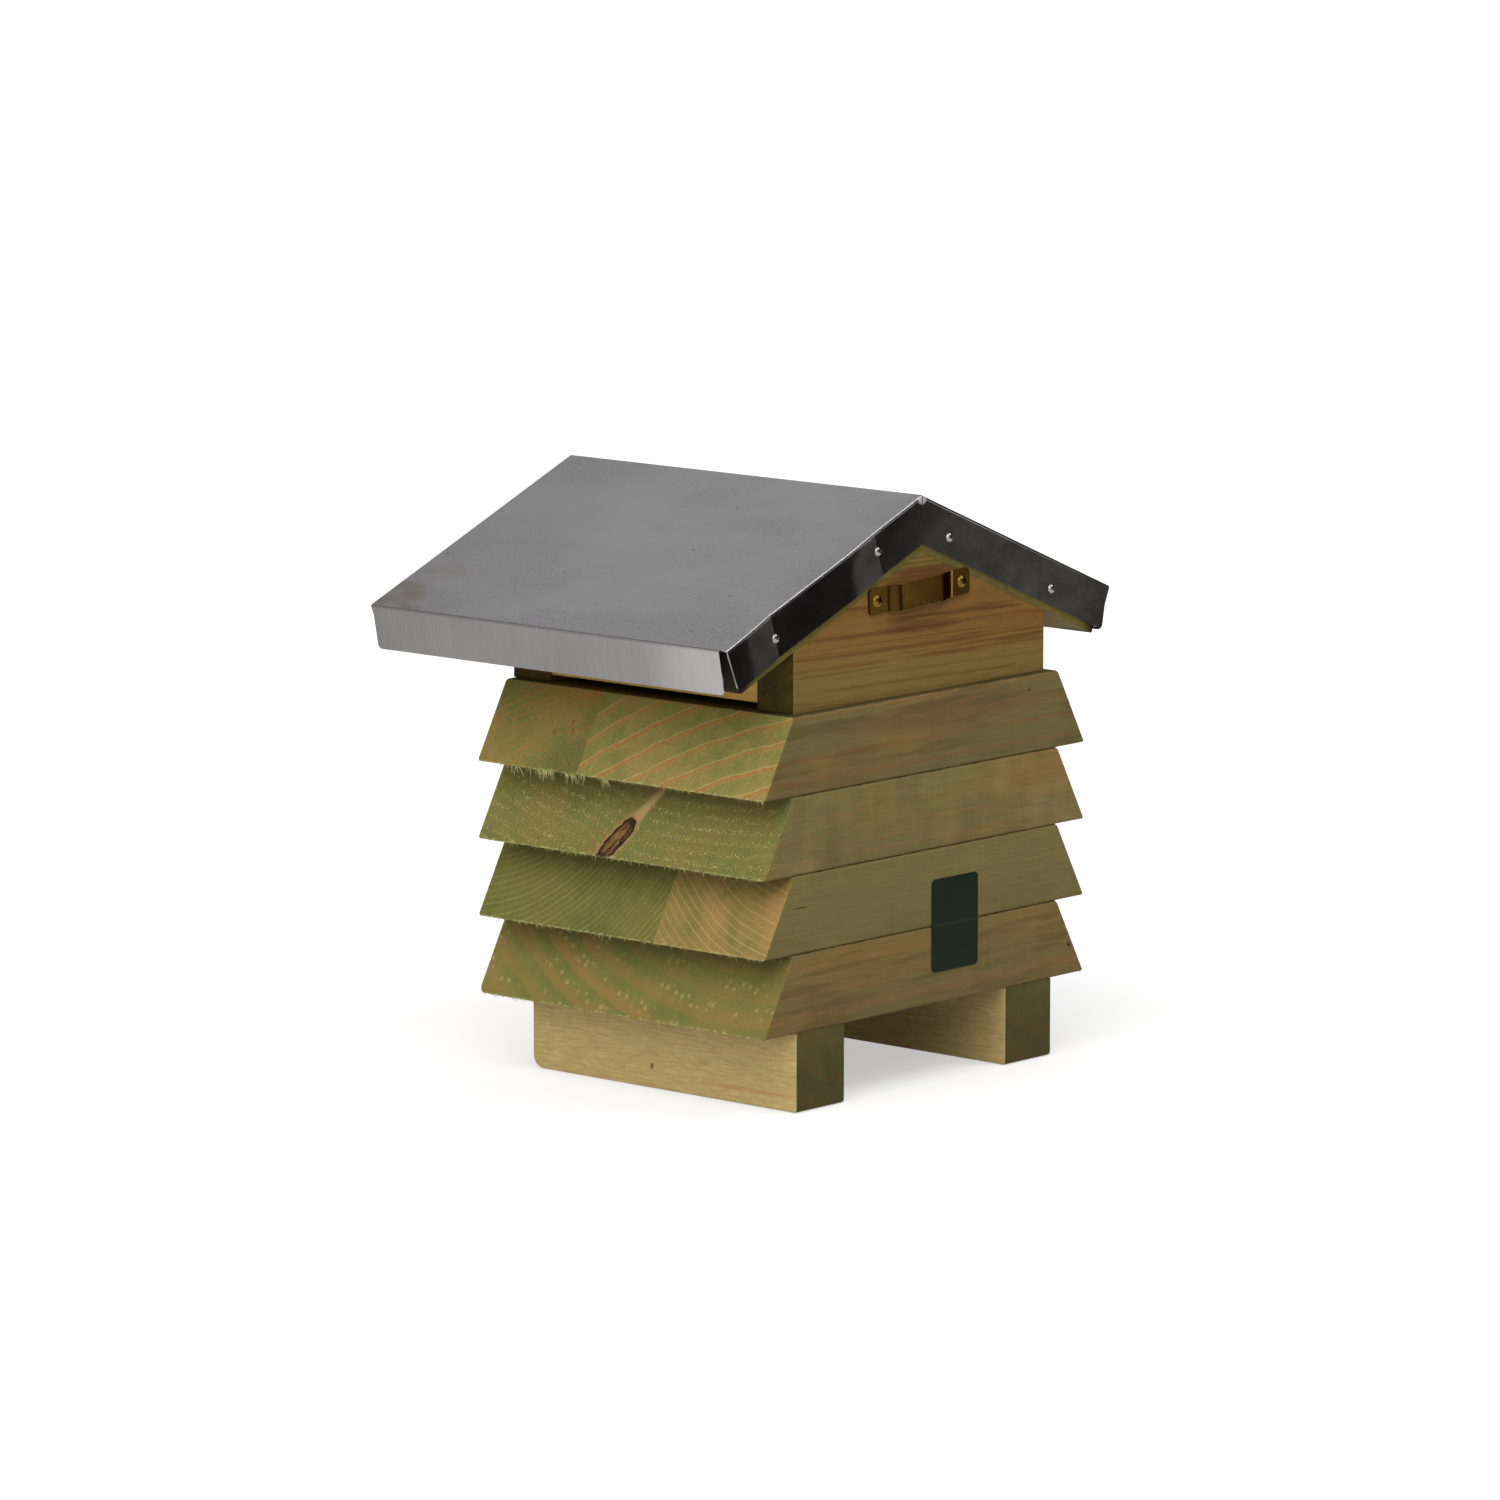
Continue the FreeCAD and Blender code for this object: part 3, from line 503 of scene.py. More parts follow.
def rounded(shape, corners, ease):
    bmesh.ops.bevel(
        shape, geom=corners, offset=ease, offset_type="OFFSET", segments=2, profile=0.5,
        affect="EDGES", clamp_overlap=True, material=-1,
    )


# %% Finished boards
RIM_ANGLE, RIM_EASE, BOARD_EASE = math.radians(80.0), 0.0002, 0.0003


def finish_board(node_name, wood, ease=BOARD_EASE, glue_y=math.inf, least_angle=30.0):
    """Eases a copy of a packed board at its outer corners and nest-hole rims, and gives it its wood."""
    shape = merged_copy(node_name)
    outer = outer_corners(shape, least_angle)
    rims = [edge for edge in shape.edges if lies_at(edge, NEST_FRONT) and edge not in outer]
    rims = [edge for edge in rims if edge.calc_face_angle(0.0) > RIM_ANGLE]
    if rims:
        rounded(shape, rims, RIM_EASE)
    corners = [edge for edge in outer_corners(shape, least_angle) if not lies_at(edge, glue_y)]
    rounded(shape, corners, ease)
    board = finished(shape, node_name + "_finish", node_name, BOARD_CREASE)
    board.data.materials.append(dress(wood))


# %% [markdown]
# ## The top tier
# Two boards are glued side by side. The rear one comes from near the middle of a quick-grown tree: its
# rings are 8 mm apart, each a thin rust-brown line that rises to the right. The front one has fine, faint
# lines.


# %% Top tier
def tier_edges(tier):
    """The heights of a tier's lower and upper face."""
    return HEAD_BASE - tier * TIER_HEIGHT, HEAD_BASE - (tier - 1) * TIER_HEIGHT


def finish_tier(node_name, wood, tier, saw=0.2, specks=0.45, glued_side=None):
    """Ends a tier's board. The glued side of its box is 0 for the front and 1 for the back."""
    saw_marks(wood, saw)
    fibres(wood, specks)
    edges(wood, *tier_edges(tier), torn=TORN)
    glue_y = math.inf if glued_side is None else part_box(node_name)[glued_side].y
    finish_board(node_name, wood, glue_y=glue_y)


wood = pine("pine_top_rear", pith=(0.1682, -0.131), ring=0.00776, wobble=0.004, seed=0.31, phase=0.47)
ground(wood, (122, 120, 60), (140, 128, 68), (146, 128, 70))
stain(wood, paint(110, 116, 60), 0.006, 0.46, 0.3, 0.0)
ring_lines(wood, RUST, paint(152, 96, 54), 0.25, 1.0, 0.55, seed=3.0, broken=0.3)
late_wood(wood, paint(170, 128, 68), 0.45, 0.4)
early_wood(wood, paint(196, 176, 112), 0.1, 0.5)
flecks(wood, paint(190, 178, 112), 0.0006, 0.62, 0.5, 0.5)
flecks(wood, paint(74, 78, 36), 0.0008, 0.64, 0.5, 0.2)
mark(wood, (-0.0601, TIER_BACK, 0.145), (0.0012, 0.002, 0.0010), paint(120, 52, 30), 0.9)
mark(wood, (-0.01, TIER_BACK, 0.1425), (0.075, 0.004, 0.007), paint(112, 78, 48), 0.4)
for tick in (0.0858, 0.0874, 0.0888):
    mark(wood, (0.082, tick, 0.1415), (0.02, 0.0004, 0.0022), RUST, 0.6)
stain(wood, FACE_DARK, 0.005, 0.46, 0.0, 0.6, stretch=12.0)
shade(wood, split(wood, 1.0, 0.88))
finish_tier("tier_1_back_board", wood, 1, glued_side=0)

wood = pine("pine_top_front", pith=(0.0216, 0.0155), ring=0.0032, wobble=0.004, seed=1.7)
ground(wood, (112, 112, 56), (128, 116, 58), (142, 120, 62))
ring_lines(wood, paint(162, 108, 56), RUST, 0.45, 0.75, 0.3, seed=8.0, broken=0.6)
mark(wood, (0.088, -0.006, 0.123), (0.03, 0.022, 0.013), paint(84, 88, 48), 0.6)
flecks(wood, paint(170, 156, 92), 0.0006, 0.62, 0.4, 0.3)
flecks(wood, paint(70, 76, 36), 0.0008, 0.64, 0.5, 0.2)
for place, size in (((-0.0204, 0.1343), (0.0014, 0.0008)), ((-0.0114, 0.1354), (0.0006, 0.0024)),
                    ((-0.0128, 0.1385), (0.0011, 0.0012))):
    mark(wood, (0.085, *place), (0.02, *size), paint(132, 74, 34), 0.7)
finish_tier("tier_1_front_board", wood, 1, glued_side=1)

# %% [markdown]
# ## The second tier
# One wide board from far out in the tree, so its rings are almost flat. They show as rows of pale flecks. A
# branch grew through it: a dark oval knot with a pale streak above it, and rings that bend down towards it.

# %% A knot
KNOT_ROOT, KNOT_TIP = (0.0099, 0.0905), (0.0205, 0.1048)
KNOT_MIDDLE, KNOT_HALF = 0.47, 0.54


def knot_place(wood, root, tip):
    """How far a point is along the knot, 0 at its root and 1 at its tip, and how far beside it."""
    axis = Vector((0.0, tip[0] - root[0], tip[1] - root[1]))
    length = axis.length
    beside_axis = Vector((0.0, axis.z, -axis.y)) / length
    offset = vector("SUBTRACT", wood.at, (0.0, *root))
    ahead = vector("DOT_PRODUCT", offset, axis / length**2)
    beside = vector("DOT_PRODUCT", offset, beside_axis)
    return ahead, beside


def bend_rings(wood, beside, reach, rings):
    """Pulls the rings down on the knot's front side."""
    front = calc("MINIMUM", beside, 0.0)
    pull = calc("EXPONENT", calc("DIVIDE", front, reach))
    pull = times(pull, fade(beside, 0.001, -0.001))
    wood.count = scaled(pull, -rings, wood.count)


def knot(wood, ahead, beside, half_width):
    """A dark oval with a torn brown heart, a tan rim, red rings beside it and a pale streak past it."""
    right_end = fade(coord(wood.at, "X"), 0.05, 0.055)
    ragged = calc("SUBTRACT", noise(wood.at, (100.0, 420.0, 420.0), 3.0), 0.5)
    lengthwise = calc("DIVIDE", calc("SUBTRACT", ahead, KNOT_MIDDLE), KNOT_HALF)
    lengthwise = calc("POWER", calc("ABSOLUTE", lengthwise), 3.0)
    crosswise = calc("POWER", calc("ABSOLUTE", calc("DIVIDE", beside, half_width)), 3.0)
    oval = calc("POWER", calc("ADD", lengthwise, crosswise), 1.0 / 3.0)
    oval = scaled(ragged, 0.5, oval)
    red = times(wood.line, fade(beside, -0.016, -0.002), fade(beside, 0.004, 0.0))
    tint(wood, times(red, right_end, 0.8), paint(140, 84, 46))
    taper = scaled(ahead, -0.0016, 0.0052)
    slim = fade(calc("DIVIDE", calc("ABSOLUTE", beside), taper), 1.0, 0.2)
    streak = times(slim, fade(ahead, 0.7, 1.0), fade(ahead, 2.7, 1.5), right_end, 0.9)
    tint(wood, streak, paint(186, 156, 104))
    tint(wood, times(fade(oval, 1.5, 1.1), right_end, 0.6), paint(164, 126, 80))
    inside = times(fade(oval, 1.06, 0.96), right_end)
    tint(wood, inside, paint(44, 26, 14))
    lengthwise_place = node("CombineXYZ", {"X": ahead, "Y": beside}).outputs[0]
    grainy = noise(lengthwise_place, (2.5, 520.0, 1.0), 4.0, 0.6)
    heart = times(fade(oval, 0.86, 0.6), fade(grainy, 0.4, 0.58))
    tint(wood, times(heart, inside, 0.9), paint(132, 96, 50))


# %% Second tier
wood = pine("pine_second", pith=(0.0516, 0.460), ring=0.0040, wobble=0.003, seed=2.9)
ahead, beside = knot_place(wood, KNOT_ROOT, KNOT_TIP)
bend_rings(wood, beside, 0.009, 2.4)
ground(wood, (105, 108, 53), (118, 114, 58), (123, 111, 57))
stain(wood, paint(130, 112, 58), 0.006, 0.54, 0.4, 0.0)
ring_lines(wood, paint(136, 112, 58), paint(148, 104, 64), 0.4, 0.3, 0.45, seed=1.0, broken=0.7)
flecks(wood, paint(188, 180, 114), 0.00065, 0.57, 0.7)
flecks(wood, paint(64, 72, 32), 0.0009, 0.64, 0.5, 0.2)
knot(wood, ahead, beside, 0.0037)
stain(wood, paint(146, 128, 82), 0.008, 0.5, 0.0, 0.5)
finish_tier("tier_2_board", wood, 2, saw=0.5)

# %% [markdown]
# ## The third tier
# Again two glued boards, with fine pale lines that meet in a chevron.

# %% Third tier
wood = pine("pine_third_front", pith=(-0.0614, 0.1285), ring=0.0024, wobble=0.0024, seed=4.2)
ground(wood, (94, 96, 42), (106, 104, 50), (114, 106, 52))
ring_lines(wood, paint(150, 142, 80), paint(150, 112, 66), 0.3, 0.65, 0.25, seed=5.0, broken=0.45)
finish_tier("tier_3_front_board", wood, 3, specks=0.35, glued_side=1)

wood = pine("pine_third_rear", pith=(0.1036, 0.1535), ring=0.0027, wobble=0.0024, seed=5.8)
ground(wood, (122, 112, 56), (140, 118, 64), (162, 126, 74), faces=((124, 112, 66), FACE_OLIVE))
ring_lines(wood, paint(182, 154, 98), paint(150, 112, 66), 0.3, 0.7, 0.2, seed=2.0, broken=0.3)
mark(wood, (0.0734, TIER_BACK, 0.0781), (0.0058, 0.002, 0.00035), paint(48, 34, 18), 0.9)
finish_tier("tier_3_back_board", wood, 3, specks=0.35, glued_side=0)

# %% [markdown]
# ## The bottom tier
# One board with soft, broad bands and scattered pale dots.

# %% Bottom tier
wood = pine("pine_bottom", pith=(0.0746, 0.2225), ring=0.0090, wobble=0.004, seed=6.6)
ground(wood, (104, 106, 52), (116, 112, 56), (124, 112, 58))
ring_lines(wood, paint(146, 112, 58), paint(158, 110, 66), 0.75, 0.7, 0.55, seed=6.0)
dots(wood, paint(192, 168, 106), 0.0036, 0.0008, 0.75, 0.42)
mark(wood, (-0.0847, TIER_BACK, 0.0423), (0.0012, 0.002, 0.0012), paint(44, 28, 14), 0.95)
stain(wood, FACE_DARK, 0.004, 0.46, 0.0, 0.5, stretch=10.0)
stain(wood, paint(150, 110, 60), 0.004, 0.52, 0.0, 0.4, stretch=8.0)
shade(wood, split(wood, 1.0, 0.88))
finish_tier("tier_4_board", wood, 4, specks=0.3)

# %% [markdown]
# ## Torn fibres
# The saw came out at the lower edge of each bevelled end and tore the fibres there. They hang as a pale
# fringe, with a few long slivers under the top tier. Each is a thin four-sided spike that starts inside the
# board, so it can't float, and leans at random.

# %% Fringe of fibres
import random

chance = random.Random(11)
END_X = 0.09375
FRONT_Y, BACK_Y = -0.0534, 0.0925
ROOT_IN, ROOT_UP = 0.0005, 0.0003
FINE, COARSE = 0.00014, 0.00019
SHORTEST, USUAL, LONGEST = 0.0006, 0.0004, 0.0024
FIBRES_PER_EDGE = 190
TUFTS = (-0.034, -0.022, -0.019, -0.008, -0.005, -0.001, 0.012)


def sliver(shape, foot, lean, length, thickness):
    """Adds one spike that hangs from its foot."""
    aim = Vector(lean).normalized()
    turn = aim.to_track_quat("Z", "Y").to_matrix().to_4x4()
    middle = Matrix.Translation(Vector(foot) + aim * (length / 2))
    bmesh.ops.create_cone(
        shape, cap_ends=True, segments=4, radius1=thickness, radius2=thickness * 0.15, depth=length,
        matrix=middle @ turn,
    )


fringe = bmesh.new()
for tier in (1, 2, 3, 4):
    low = tier_edges(tier)[0]
    for side in (1, -1):
        for _ in range(FIBRES_PER_EDGE):
            y = chance.uniform(FRONT_Y + 0.001, BACK_Y - 0.001)
            length = SHORTEST + chance.expovariate(1 / USUAL)
            lean = (side * chance.uniform(-0.1, 0.25), chance.uniform(-0.5, 0.7), -1.0)
            root = (side * (END_X - ROOT_IN), y, low + ROOT_UP)
            sliver(fringe, root, lean, min(length, LONGEST), FINE)
    for _ in range(84 if tier == 1 else 10):
        y = chance.choice(TUFTS) + chance.gauss(0.0, 0.0022)
        length = chance.uniform(0.0014, 0.005 if tier == 1 else 0.002)
        lean = (chance.uniform(-0.05, 0.2), chance.uniform(-0.1, 0.75), -1.0)
        sliver(fringe, (END_X - ROOT_IN, y, low + ROOT_UP), lean, length, COARSE)
bmesh.ops.recalc_face_normals(fringe, faces=fringe.faces)
fibre_fringe = as_object(fringe, "torn_fibres")
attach(fibre_fringe, "root")
fibre_paint, tree, shader = new_material("pale_fibre")
pale = noise(own_place(tree), (400.0, 400.0, 400.0), 2.0)
feed(shader, {
    "Base Color": blend(pale, paint(150, 148, 92), paint(196, 188, 132)),
    "Roughness": 0.85, "Specular IOR Level": 0.2,
})
fibre_fringe.data.materials.append(fibre_paint)
print("torn fibres:", len(fibre_fringe.data.polygons), "faces")

# %% [markdown]
# ## Feet, gables, side boards and roof boards
# The feet, side boards and roof boards have their grain from front to back, so their pattern is turned by
# a quarter. The gables have theirs across.

# %% Feet
QUARTER = math.radians(-90.0)
FOOT_SIDE, BELOW_FLOOR = 0.0748, -0.01
for side, across in (("left", 0.061), ("right", -0.061)):
    pith = (across + 0.03, 0.090)
    wood = pine("pine_foot_" + side, pith, ring=0.012, turn=QUARTER, seed=7.0 + across)
    # The pale face tones are partly the wood's own colour and partly painted light, standing in for light
    # thrown up from the floor.
    ground(wood, (72, 71, 34), (82, 79, 40), (86, 77, 38), faces=((186, 162, 106), (194, 168, 112)))
    ring_lines(wood, paint(98, 76, 40), paint(184, 146, 94), 0.6, 0.5, 0.06, seed=1.0)
    stain(wood, paint(214, 194, 142), 0.0016, 0.5, 0.0, 0.3, stretch=3.0)
    stain(wood, paint(150, 124, 74), 0.0020, 0.54, 0.0, 0.3, stretch=3.0)
    face_x = math.copysign(FOOT_SIDE, across)
    mark(wood, (0.068, face_x, 0.0058), (0.032, 0.003, 0.0011), paint(178, 122, 74), 0.5)
    mark(wood, (0.0190, face_x, 0.0084), (0.0011, 0.003, 0.0017), paint(92, 72, 38), 0.8)
    # Painted light: each foot is painted up to a quarter lighter towards its top, to cancel the shade under
    # the bottom tier.
    shade(wood, scaled(fade(coord(wood.at, "Z"), 0.010, 0.032), 0.25, 1.0))
    fibres(wood, 0.35, 0.4)
    edges(wood, BELOW_FLOOR, tier_edges(4)[0])
    finish_board(side + "_foot", wood, ease=0.0005)

# %% Gables
GABLE_BACK = 0.0888
for end, shift in (("back", 0.0), ("front", 0.4)):
    pith = (0.060, 0.190)
    wood = pine("pine_gable_" + end, pith, ring=0.0030, tilt=0.02, wobble=0.003, seed=8.0 + shift)
    ground(wood, (52, 46, 8), (70, 56, 12), (80, 58, 18), faces=((138, 102, 50), (134, 92, 42)))
    level = coord(wood.at, "Z")
    tint(wood, fade(level, 0.176, 0.158), paint(130, 116, 64), 0.0, 0.65)
    tint(wood, fade(level, 0.193, 0.202), paint(124, 116, 60), 0.0, 0.5)
    ring_lines(wood, paint(90, 60, 30), paint(112, 62, 30), 0.45, 0.4, 0.55, seed=4.0, broken=0.85)
    streaky = noise(wood.place, (11.0, 40.0, 300.0), 3.0, 0.6)
    band = times(fade(level, 0.160, 0.172), fade(level, 0.186, 0.176), fade(coord(wood.at, "X"), 0.04, 0.0))
    tint(wood, times(fade(streaky, 0.5, 0.62), band), paint(84, 46, 20), 0.0, 0.9)
    thin = noise(wood.place, (6.0, 40.0, 620.0), 2.0)
    tint(wood, fade(thin, 0.57, 0.64), paint(92, 58, 28), 0.0, 0.5)
    mark(wood, (0.004, GABLE_BACK, 0.1758), (0.032, 0.004, 0.0030), paint(84, 46, 20), 0.45)
    mark(wood, (-0.012, GABLE_BACK, 0.1855), (0.012, 0.004, 0.0045), paint(96, 70, 36), 0.4)
    stain(wood, paint(100, 92, 52), 0.0025, 0.62, 0.0, 0.6, stretch=1.5)
    saw_marks(wood, 0.12)
    fibres(wood, 0.6, 0.3)
    finish_board(end + "_gable", wood)

# %% Side boards and roof boards
for side, across in (("left", 0.07), ("right", -0.07)):
    pith = (across + 0.05, 0.10)
    wood = pine("pine_side_" + side, pith, ring=0.0045, turn=QUARTER, seed=9.0 + across)
    # Painted light: the long faces are painted far paler than the other boards, standing in for light
    # thrown up from the floor into the shade under the eaves.
    ground(wood, (116, 112, 58), (132, 120, 64), (132, 116, 62), faces=((226, 184, 106), (234, 190, 110)))
    ring_lines(wood, RUST, RUST, 0.4, 0.3, 0.3, seed=1.0)
    fibres(wood)
    finish_board(side + "_side_board", wood)
    wood = pine("pine_roof_" + side, (across, 0.32), ring=0.0042, turn=QUARTER, seed=10.0 + across)
    ground(wood, (98, 94, 44), (116, 106, 52), (112, 100, 48), faces=((140, 128, 78), (148, 126, 78)))
    ring_lines(wood, paint(120, 88, 44), RUST, 0.4, 0.4, 0.3, seed=1.0)
    # Painted shade: a near-black spot on each roof board's end, in the gap under the back eave.
    eave_shade_spot = (GABLE_BACK, math.copysign(0.107, across), 0.170)
    mark(wood, eave_shade_spot, (0.03, 0.012, 0.03), paint(22, 17, 8), 0.95)
    fibres(wood)
    finish_board(side + "_roof_board", wood, least_angle=50.0)

# %% [markdown]
# ## The roof sheet
# Thin steel with a zinc coat, folded once along the ridge, with a flange bent down all round. The packed
# shape has the bends already. What it lacks is the way a thin flange bows out next to each nail, so the
# copy is cut into narrow strips there and its points are pushed out. The push grows steeply just beside a
# nail and levels out further on.


# %% The nails, one by one
def loose_boxes(node_name):
    """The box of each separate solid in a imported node."""
    shape = merged_copy(node_name)
    waiting = set(shape.verts)
    boxes = []
    while waiting:
        front = [waiting.pop()]
        points = []
        while front:
            vert = front.pop()
            points.append(vert.co.copy())
            for edge in vert.link_edges:
                other = edge.other_vert(vert)
                if other in waiting:
                    waiting.remove(other)
                    front.append(other)
        low = Vector([min(p[i] for p in points) for i in range(3)])
        high = Vector([max(p[i] for p in points) for i in range(3)])
        boxes.append((low, high))
    shape.free()
    return sorted(boxes, key=lambda pair: tuple(round(v, 5) for v in pair[0]))


# %% Roof sheet with bowed flanges
FLANGE_SLANT, FLANGE_INSIDE = 0.31, 0.0881
LOWER_BOW, LOWER_RUN = 0.0015, 0.013
UPPER_BOW, UPPER_RUN, UPPER_FLAT = 0.0009, 0.012, 0.018
STRIP, STRIPS, BEFORE_CREASE = 0.003, 18, 0.0004
nails = loose_boxes("sheet_nails")
back_nails = [(low + high) / 2 for low, high in nails if low.y > 0 and low.x > 0]
creases = sorted(nail.x - FLANGE_SLANT * nail.z for nail in back_nails)


def flange_bow(x, z):
    """How far the near back flange stands out, next to one nail or the other."""
    place = x - FLANGE_SLANT * z
    past_upper = place - creases[0]
    past_lower = place - creases[1]
    if past_lower > 0:
        return LOWER_BOW * (1 - math.exp(-past_lower / LOWER_RUN))
    if past_upper > 0:
        sunk = max(0.0, (past_upper - UPPER_FLAT) / (creases[1] - creases[0] - UPPER_FLAT))
        return UPPER_BOW * (1 - math.exp(-past_upper / UPPER_RUN)) * (1 - sunk)
    return 0.0


def is_near_flange(point):
    return point.y > FLANGE_INSIDE and point.x > 0.0001


shape = merged_copy("roof_sheet")
cuts = [start + STRIP * step for start in creases for step in range(STRIPS)]
cuts += [crease - BEFORE_CREASE for crease in creases]
for cut in cuts:
    strips = [face for face in shape.faces if all(is_near_flange(vert.co) for vert in face.verts)]
    touched = set(strips)
    for face in strips:
        touched.update(face.edges)
        touched.update(face.verts)
    bmesh.ops.bisect_plane(
        shape, geom=list(touched), dist=1e-7, plane_co=(cut, 0.0, 0.0), plane_no=(1.0, 0.0, -FLANGE_SLANT),
    )
for vert in shape.verts:
    if is_near_flange(vert.co):
        vert.co.y += flange_bow(vert.co.x, vert.co.z)
many_sided = [face for face in shape.faces if len(face.verts) > 4]
bmesh.ops.triangulate(shape, faces=many_sided, ngon_method="BEAUTY")
roof = finished(shape, "roof_sheet_finish", "roof_sheet", crease=2.5)
print("flange creases at", [round(v * 1000, 1) for v in creases], "mm")

# %% Zinc coat, clouds and eaves
PALE_ZINC = (0.36, 0.355, 0.36, 1.0)
sheet_metal, tree, shader = new_material("zinc_coated_sheet")
coords = node("TexCoord", {}, tree)
place = coords.outputs["Object"]
spot = node("SeparateXYZ", {0: place})
facing = node("SeparateXYZ", {0: coords.outputs["Normal"]})
cloud = noise(place, (26.0, 16.0, 26.0), 5.0, 0.6)
speck = noise(place, (900.0, 900.0, 900.0), 2.0)
tone = blend(fade(cloud, 0.3, 0.7), (0.265, 0.26, 0.265, 1.0), PALE_ZINC)
tone = blend(fade(speck, 0.3, 0.8), tone, PALE_ZINC)
turning = calc("ABSOLUTE", facing.outputs["X"])
on_eave = fade(turning, 0.7, 0.95)
# Painted reflection: the eave flange is painted paler towards the back and darker towards the front; the
# brushed streaks below are the metal's own.
eave_reflection_fade = fade(spot.outputs["Y"], 0.084, 0.03)
eave_tone = blend(eave_reflection_fade, (0.36, 0.355, 0.35, 1.0), (0.24, 0.232, 0.23, 1.0))
brushed = scaled(noise(place, (60.0, 2400.0, 60.0), 2.0), 0.3, 0.85)
drift = scaled(noise(place, (20.0, 34.0, 20.0), 2.0), 0.5, 0.75)
eave_tone = vector("MULTIPLY", eave_tone, times(brushed, drift))
tone = blend(on_eave, tone, eave_tone)
# Painted shade: the rounded bends of the sheet are painted dark.
bend_shade = times(fade(turning, 0.43, 0.5), fade(turning, 0.9, 0.7))
tone = blend(times(bend_shade, 0.65), tone, (0.06, 0.058, 0.056, 1.0))
# Painted shade: the whole sheet is painted up to 12% darker towards its front end.
front_shade = scaled(fade(spot.outputs["Y"], 0.0, -0.09), -0.12, 1.0)
tone = vector("MULTIPLY", tone, front_shade)

# %% Zinc coat, grit and a painted highlight
RIDGE_TIP = (0.0, 0.0894, 0.2252)
flat = vector("MULTIPLY", place, (38.0, 38.0, 0.0))
cells = node("TexVoronoi", {"Vector": flat, "Scale": 1.0}, voronoi_dimensions="2D")
kept = node("SeparateColor", {0: cells.outputs["Color"]}).outputs[0]
grit = times(fade(cells.outputs["Distance"], 0.03, 0.012), fade(kept, 0.7, 0.75))
on_top = scaled(on_eave, -0.7, 0.7)
tone = blend(times(grit, on_top), tone, (0.1, 0.09, 0.08, 1.0))
smudge = fade(noise(place, (70.0, 40.0, 70.0), 3.0), 0.46, 0.64)
corner = times(fade(spot.outputs["X"], 0.07, 0.1), fade(spot.outputs["Y"], -0.045, -0.075))
tone = blend(times(smudge, corner, on_top), tone, (0.2, 0.16, 0.12, 1.0))
on_gable = fade(calc("ABSOLUTE", facing.outputs["Y"]), 0.7, 0.9)
# Painted highlight: a near-white spot at the back tip of the ridge, where the bent corner catches the
# light; it is also made rougher.
ridge_tip_highlight = times(fade(vector("DISTANCE", place, RIDGE_TIP), 0.0034, 0.0022), on_gable)
mottle = calc("SUBTRACT", noise(place, (70.0, 70.0, 110.0), 4.0, 0.6), 0.5)
mottle = scaled(times(mottle, on_gable), 1.5, 1.0)
tone = vector("MULTIPLY", tone, mottle)
tone = blend(ridge_tip_highlight, tone, (0.98, 0.97, 0.96, 1.0))
satin = scaled(ridge_tip_highlight, 0.5, scaled(on_gable, -0.33, 0.38))
feed(shader, {"Base Color": tone, "Metallic": 1.0, "Roughness": scaled(cloud, 0.06, satin)})
roof.data.materials.append(sheet_metal)
print("zinc coat nodes:", len(tree.nodes))

# %% [markdown]
# ## Nails and screws
# A round-headed nail is a turned shape, so half its outline is spun once round its axis. The screws of the
# hanger are turned too. A cross-shaped block is then cut out of each head for the screwdriver.


# %% Turned fasteners
def dome(radius, height, steps):
    """The (radius, height) outline of a rounded head, from its top to its rim."""
    bow = (radius**2 + height**2) / (2 * height)
    reach = math.asin(radius / bow)
    outline = []
    for step in range(steps + 1):
        angle = reach * step / steps
        outline.append((bow * math.sin(angle), height - bow + bow * math.cos(angle)))
    return outline


def spun(outline, seat, outward, steps=24):
    """A turned solid on a seat, its head facing outward along Y."""
    shape = bmesh.new()
    verts = [shape.verts.new((radius, 0.0, height)) for radius, height in outline]
    edges = [shape.edges.new(pair) for pair in zip(verts, verts[1:])]
    bmesh.ops.spin(
        shape, geom=verts + edges, axis=(0, 0, 1), cent=(0, 0, 0), angle=math.tau, steps=steps,
        use_merge=True,
    )
    bmesh.ops.remove_doubles(shape, verts=shape.verts, dist=1e-7)
    settle(shape, -outward * math.pi / 2, "X", seat)
    bmesh.ops.recalc_face_normals(shape, faces=shape.faces)
    return shape


def gathered(shapes):
    """Several bmeshes as one."""
    whole = bmesh.new()
    for shape in shapes:
        mesh = bpy.data.meshes.new("part")
        shape.to_mesh(mesh)
        shape.free()
        whole.from_mesh(mesh)
        bpy.data.meshes.remove(mesh)
    return whole


def scuffed_metal(name, per_metre, dark, light, least, swing):
    """A metal with fine scuffs, which are lighter and rougher."""
    metal, tree, shader = new_material(name)
    scuff = noise(own_place(tree), (per_metre, per_metre, per_metre), 3.0)
    feed(shader, {
        "Base Color": blend(scuff, dark, light), "Metallic": 1.0, "Roughness": scaled(scuff, swing, least),
    })
    return metal


# %% Roof nails
HEAD_RADIUS, HEAD_RISE = 0.0019, 0.0013
SHANK_RADIUS, NAIL_LENGTH, NAIL_POINT = 0.0009, 0.020, 0.0027
DOME_STEPS, UNDERCUT = 7, 0.97
nail_outline = dome(HEAD_RADIUS, HEAD_RISE, DOME_STEPS) + [
    (HEAD_RADIUS * UNDERCUT, 0.0), (SHANK_RADIUS, 0.0),
    (SHANK_RADIUS, NAIL_POINT - NAIL_LENGTH), (0.0, -NAIL_LENGTH),
]
turned = []
for low, high in nails:
    outward = 1.0 if low.y > 0 else -1.0
    face = high.y - HEAD_RISE if outward > 0 else low.y + HEAD_RISE
    turned.append(spun(nail_outline, ((low.x + high.x) / 2, face, (low.z + high.z) / 2), outward))
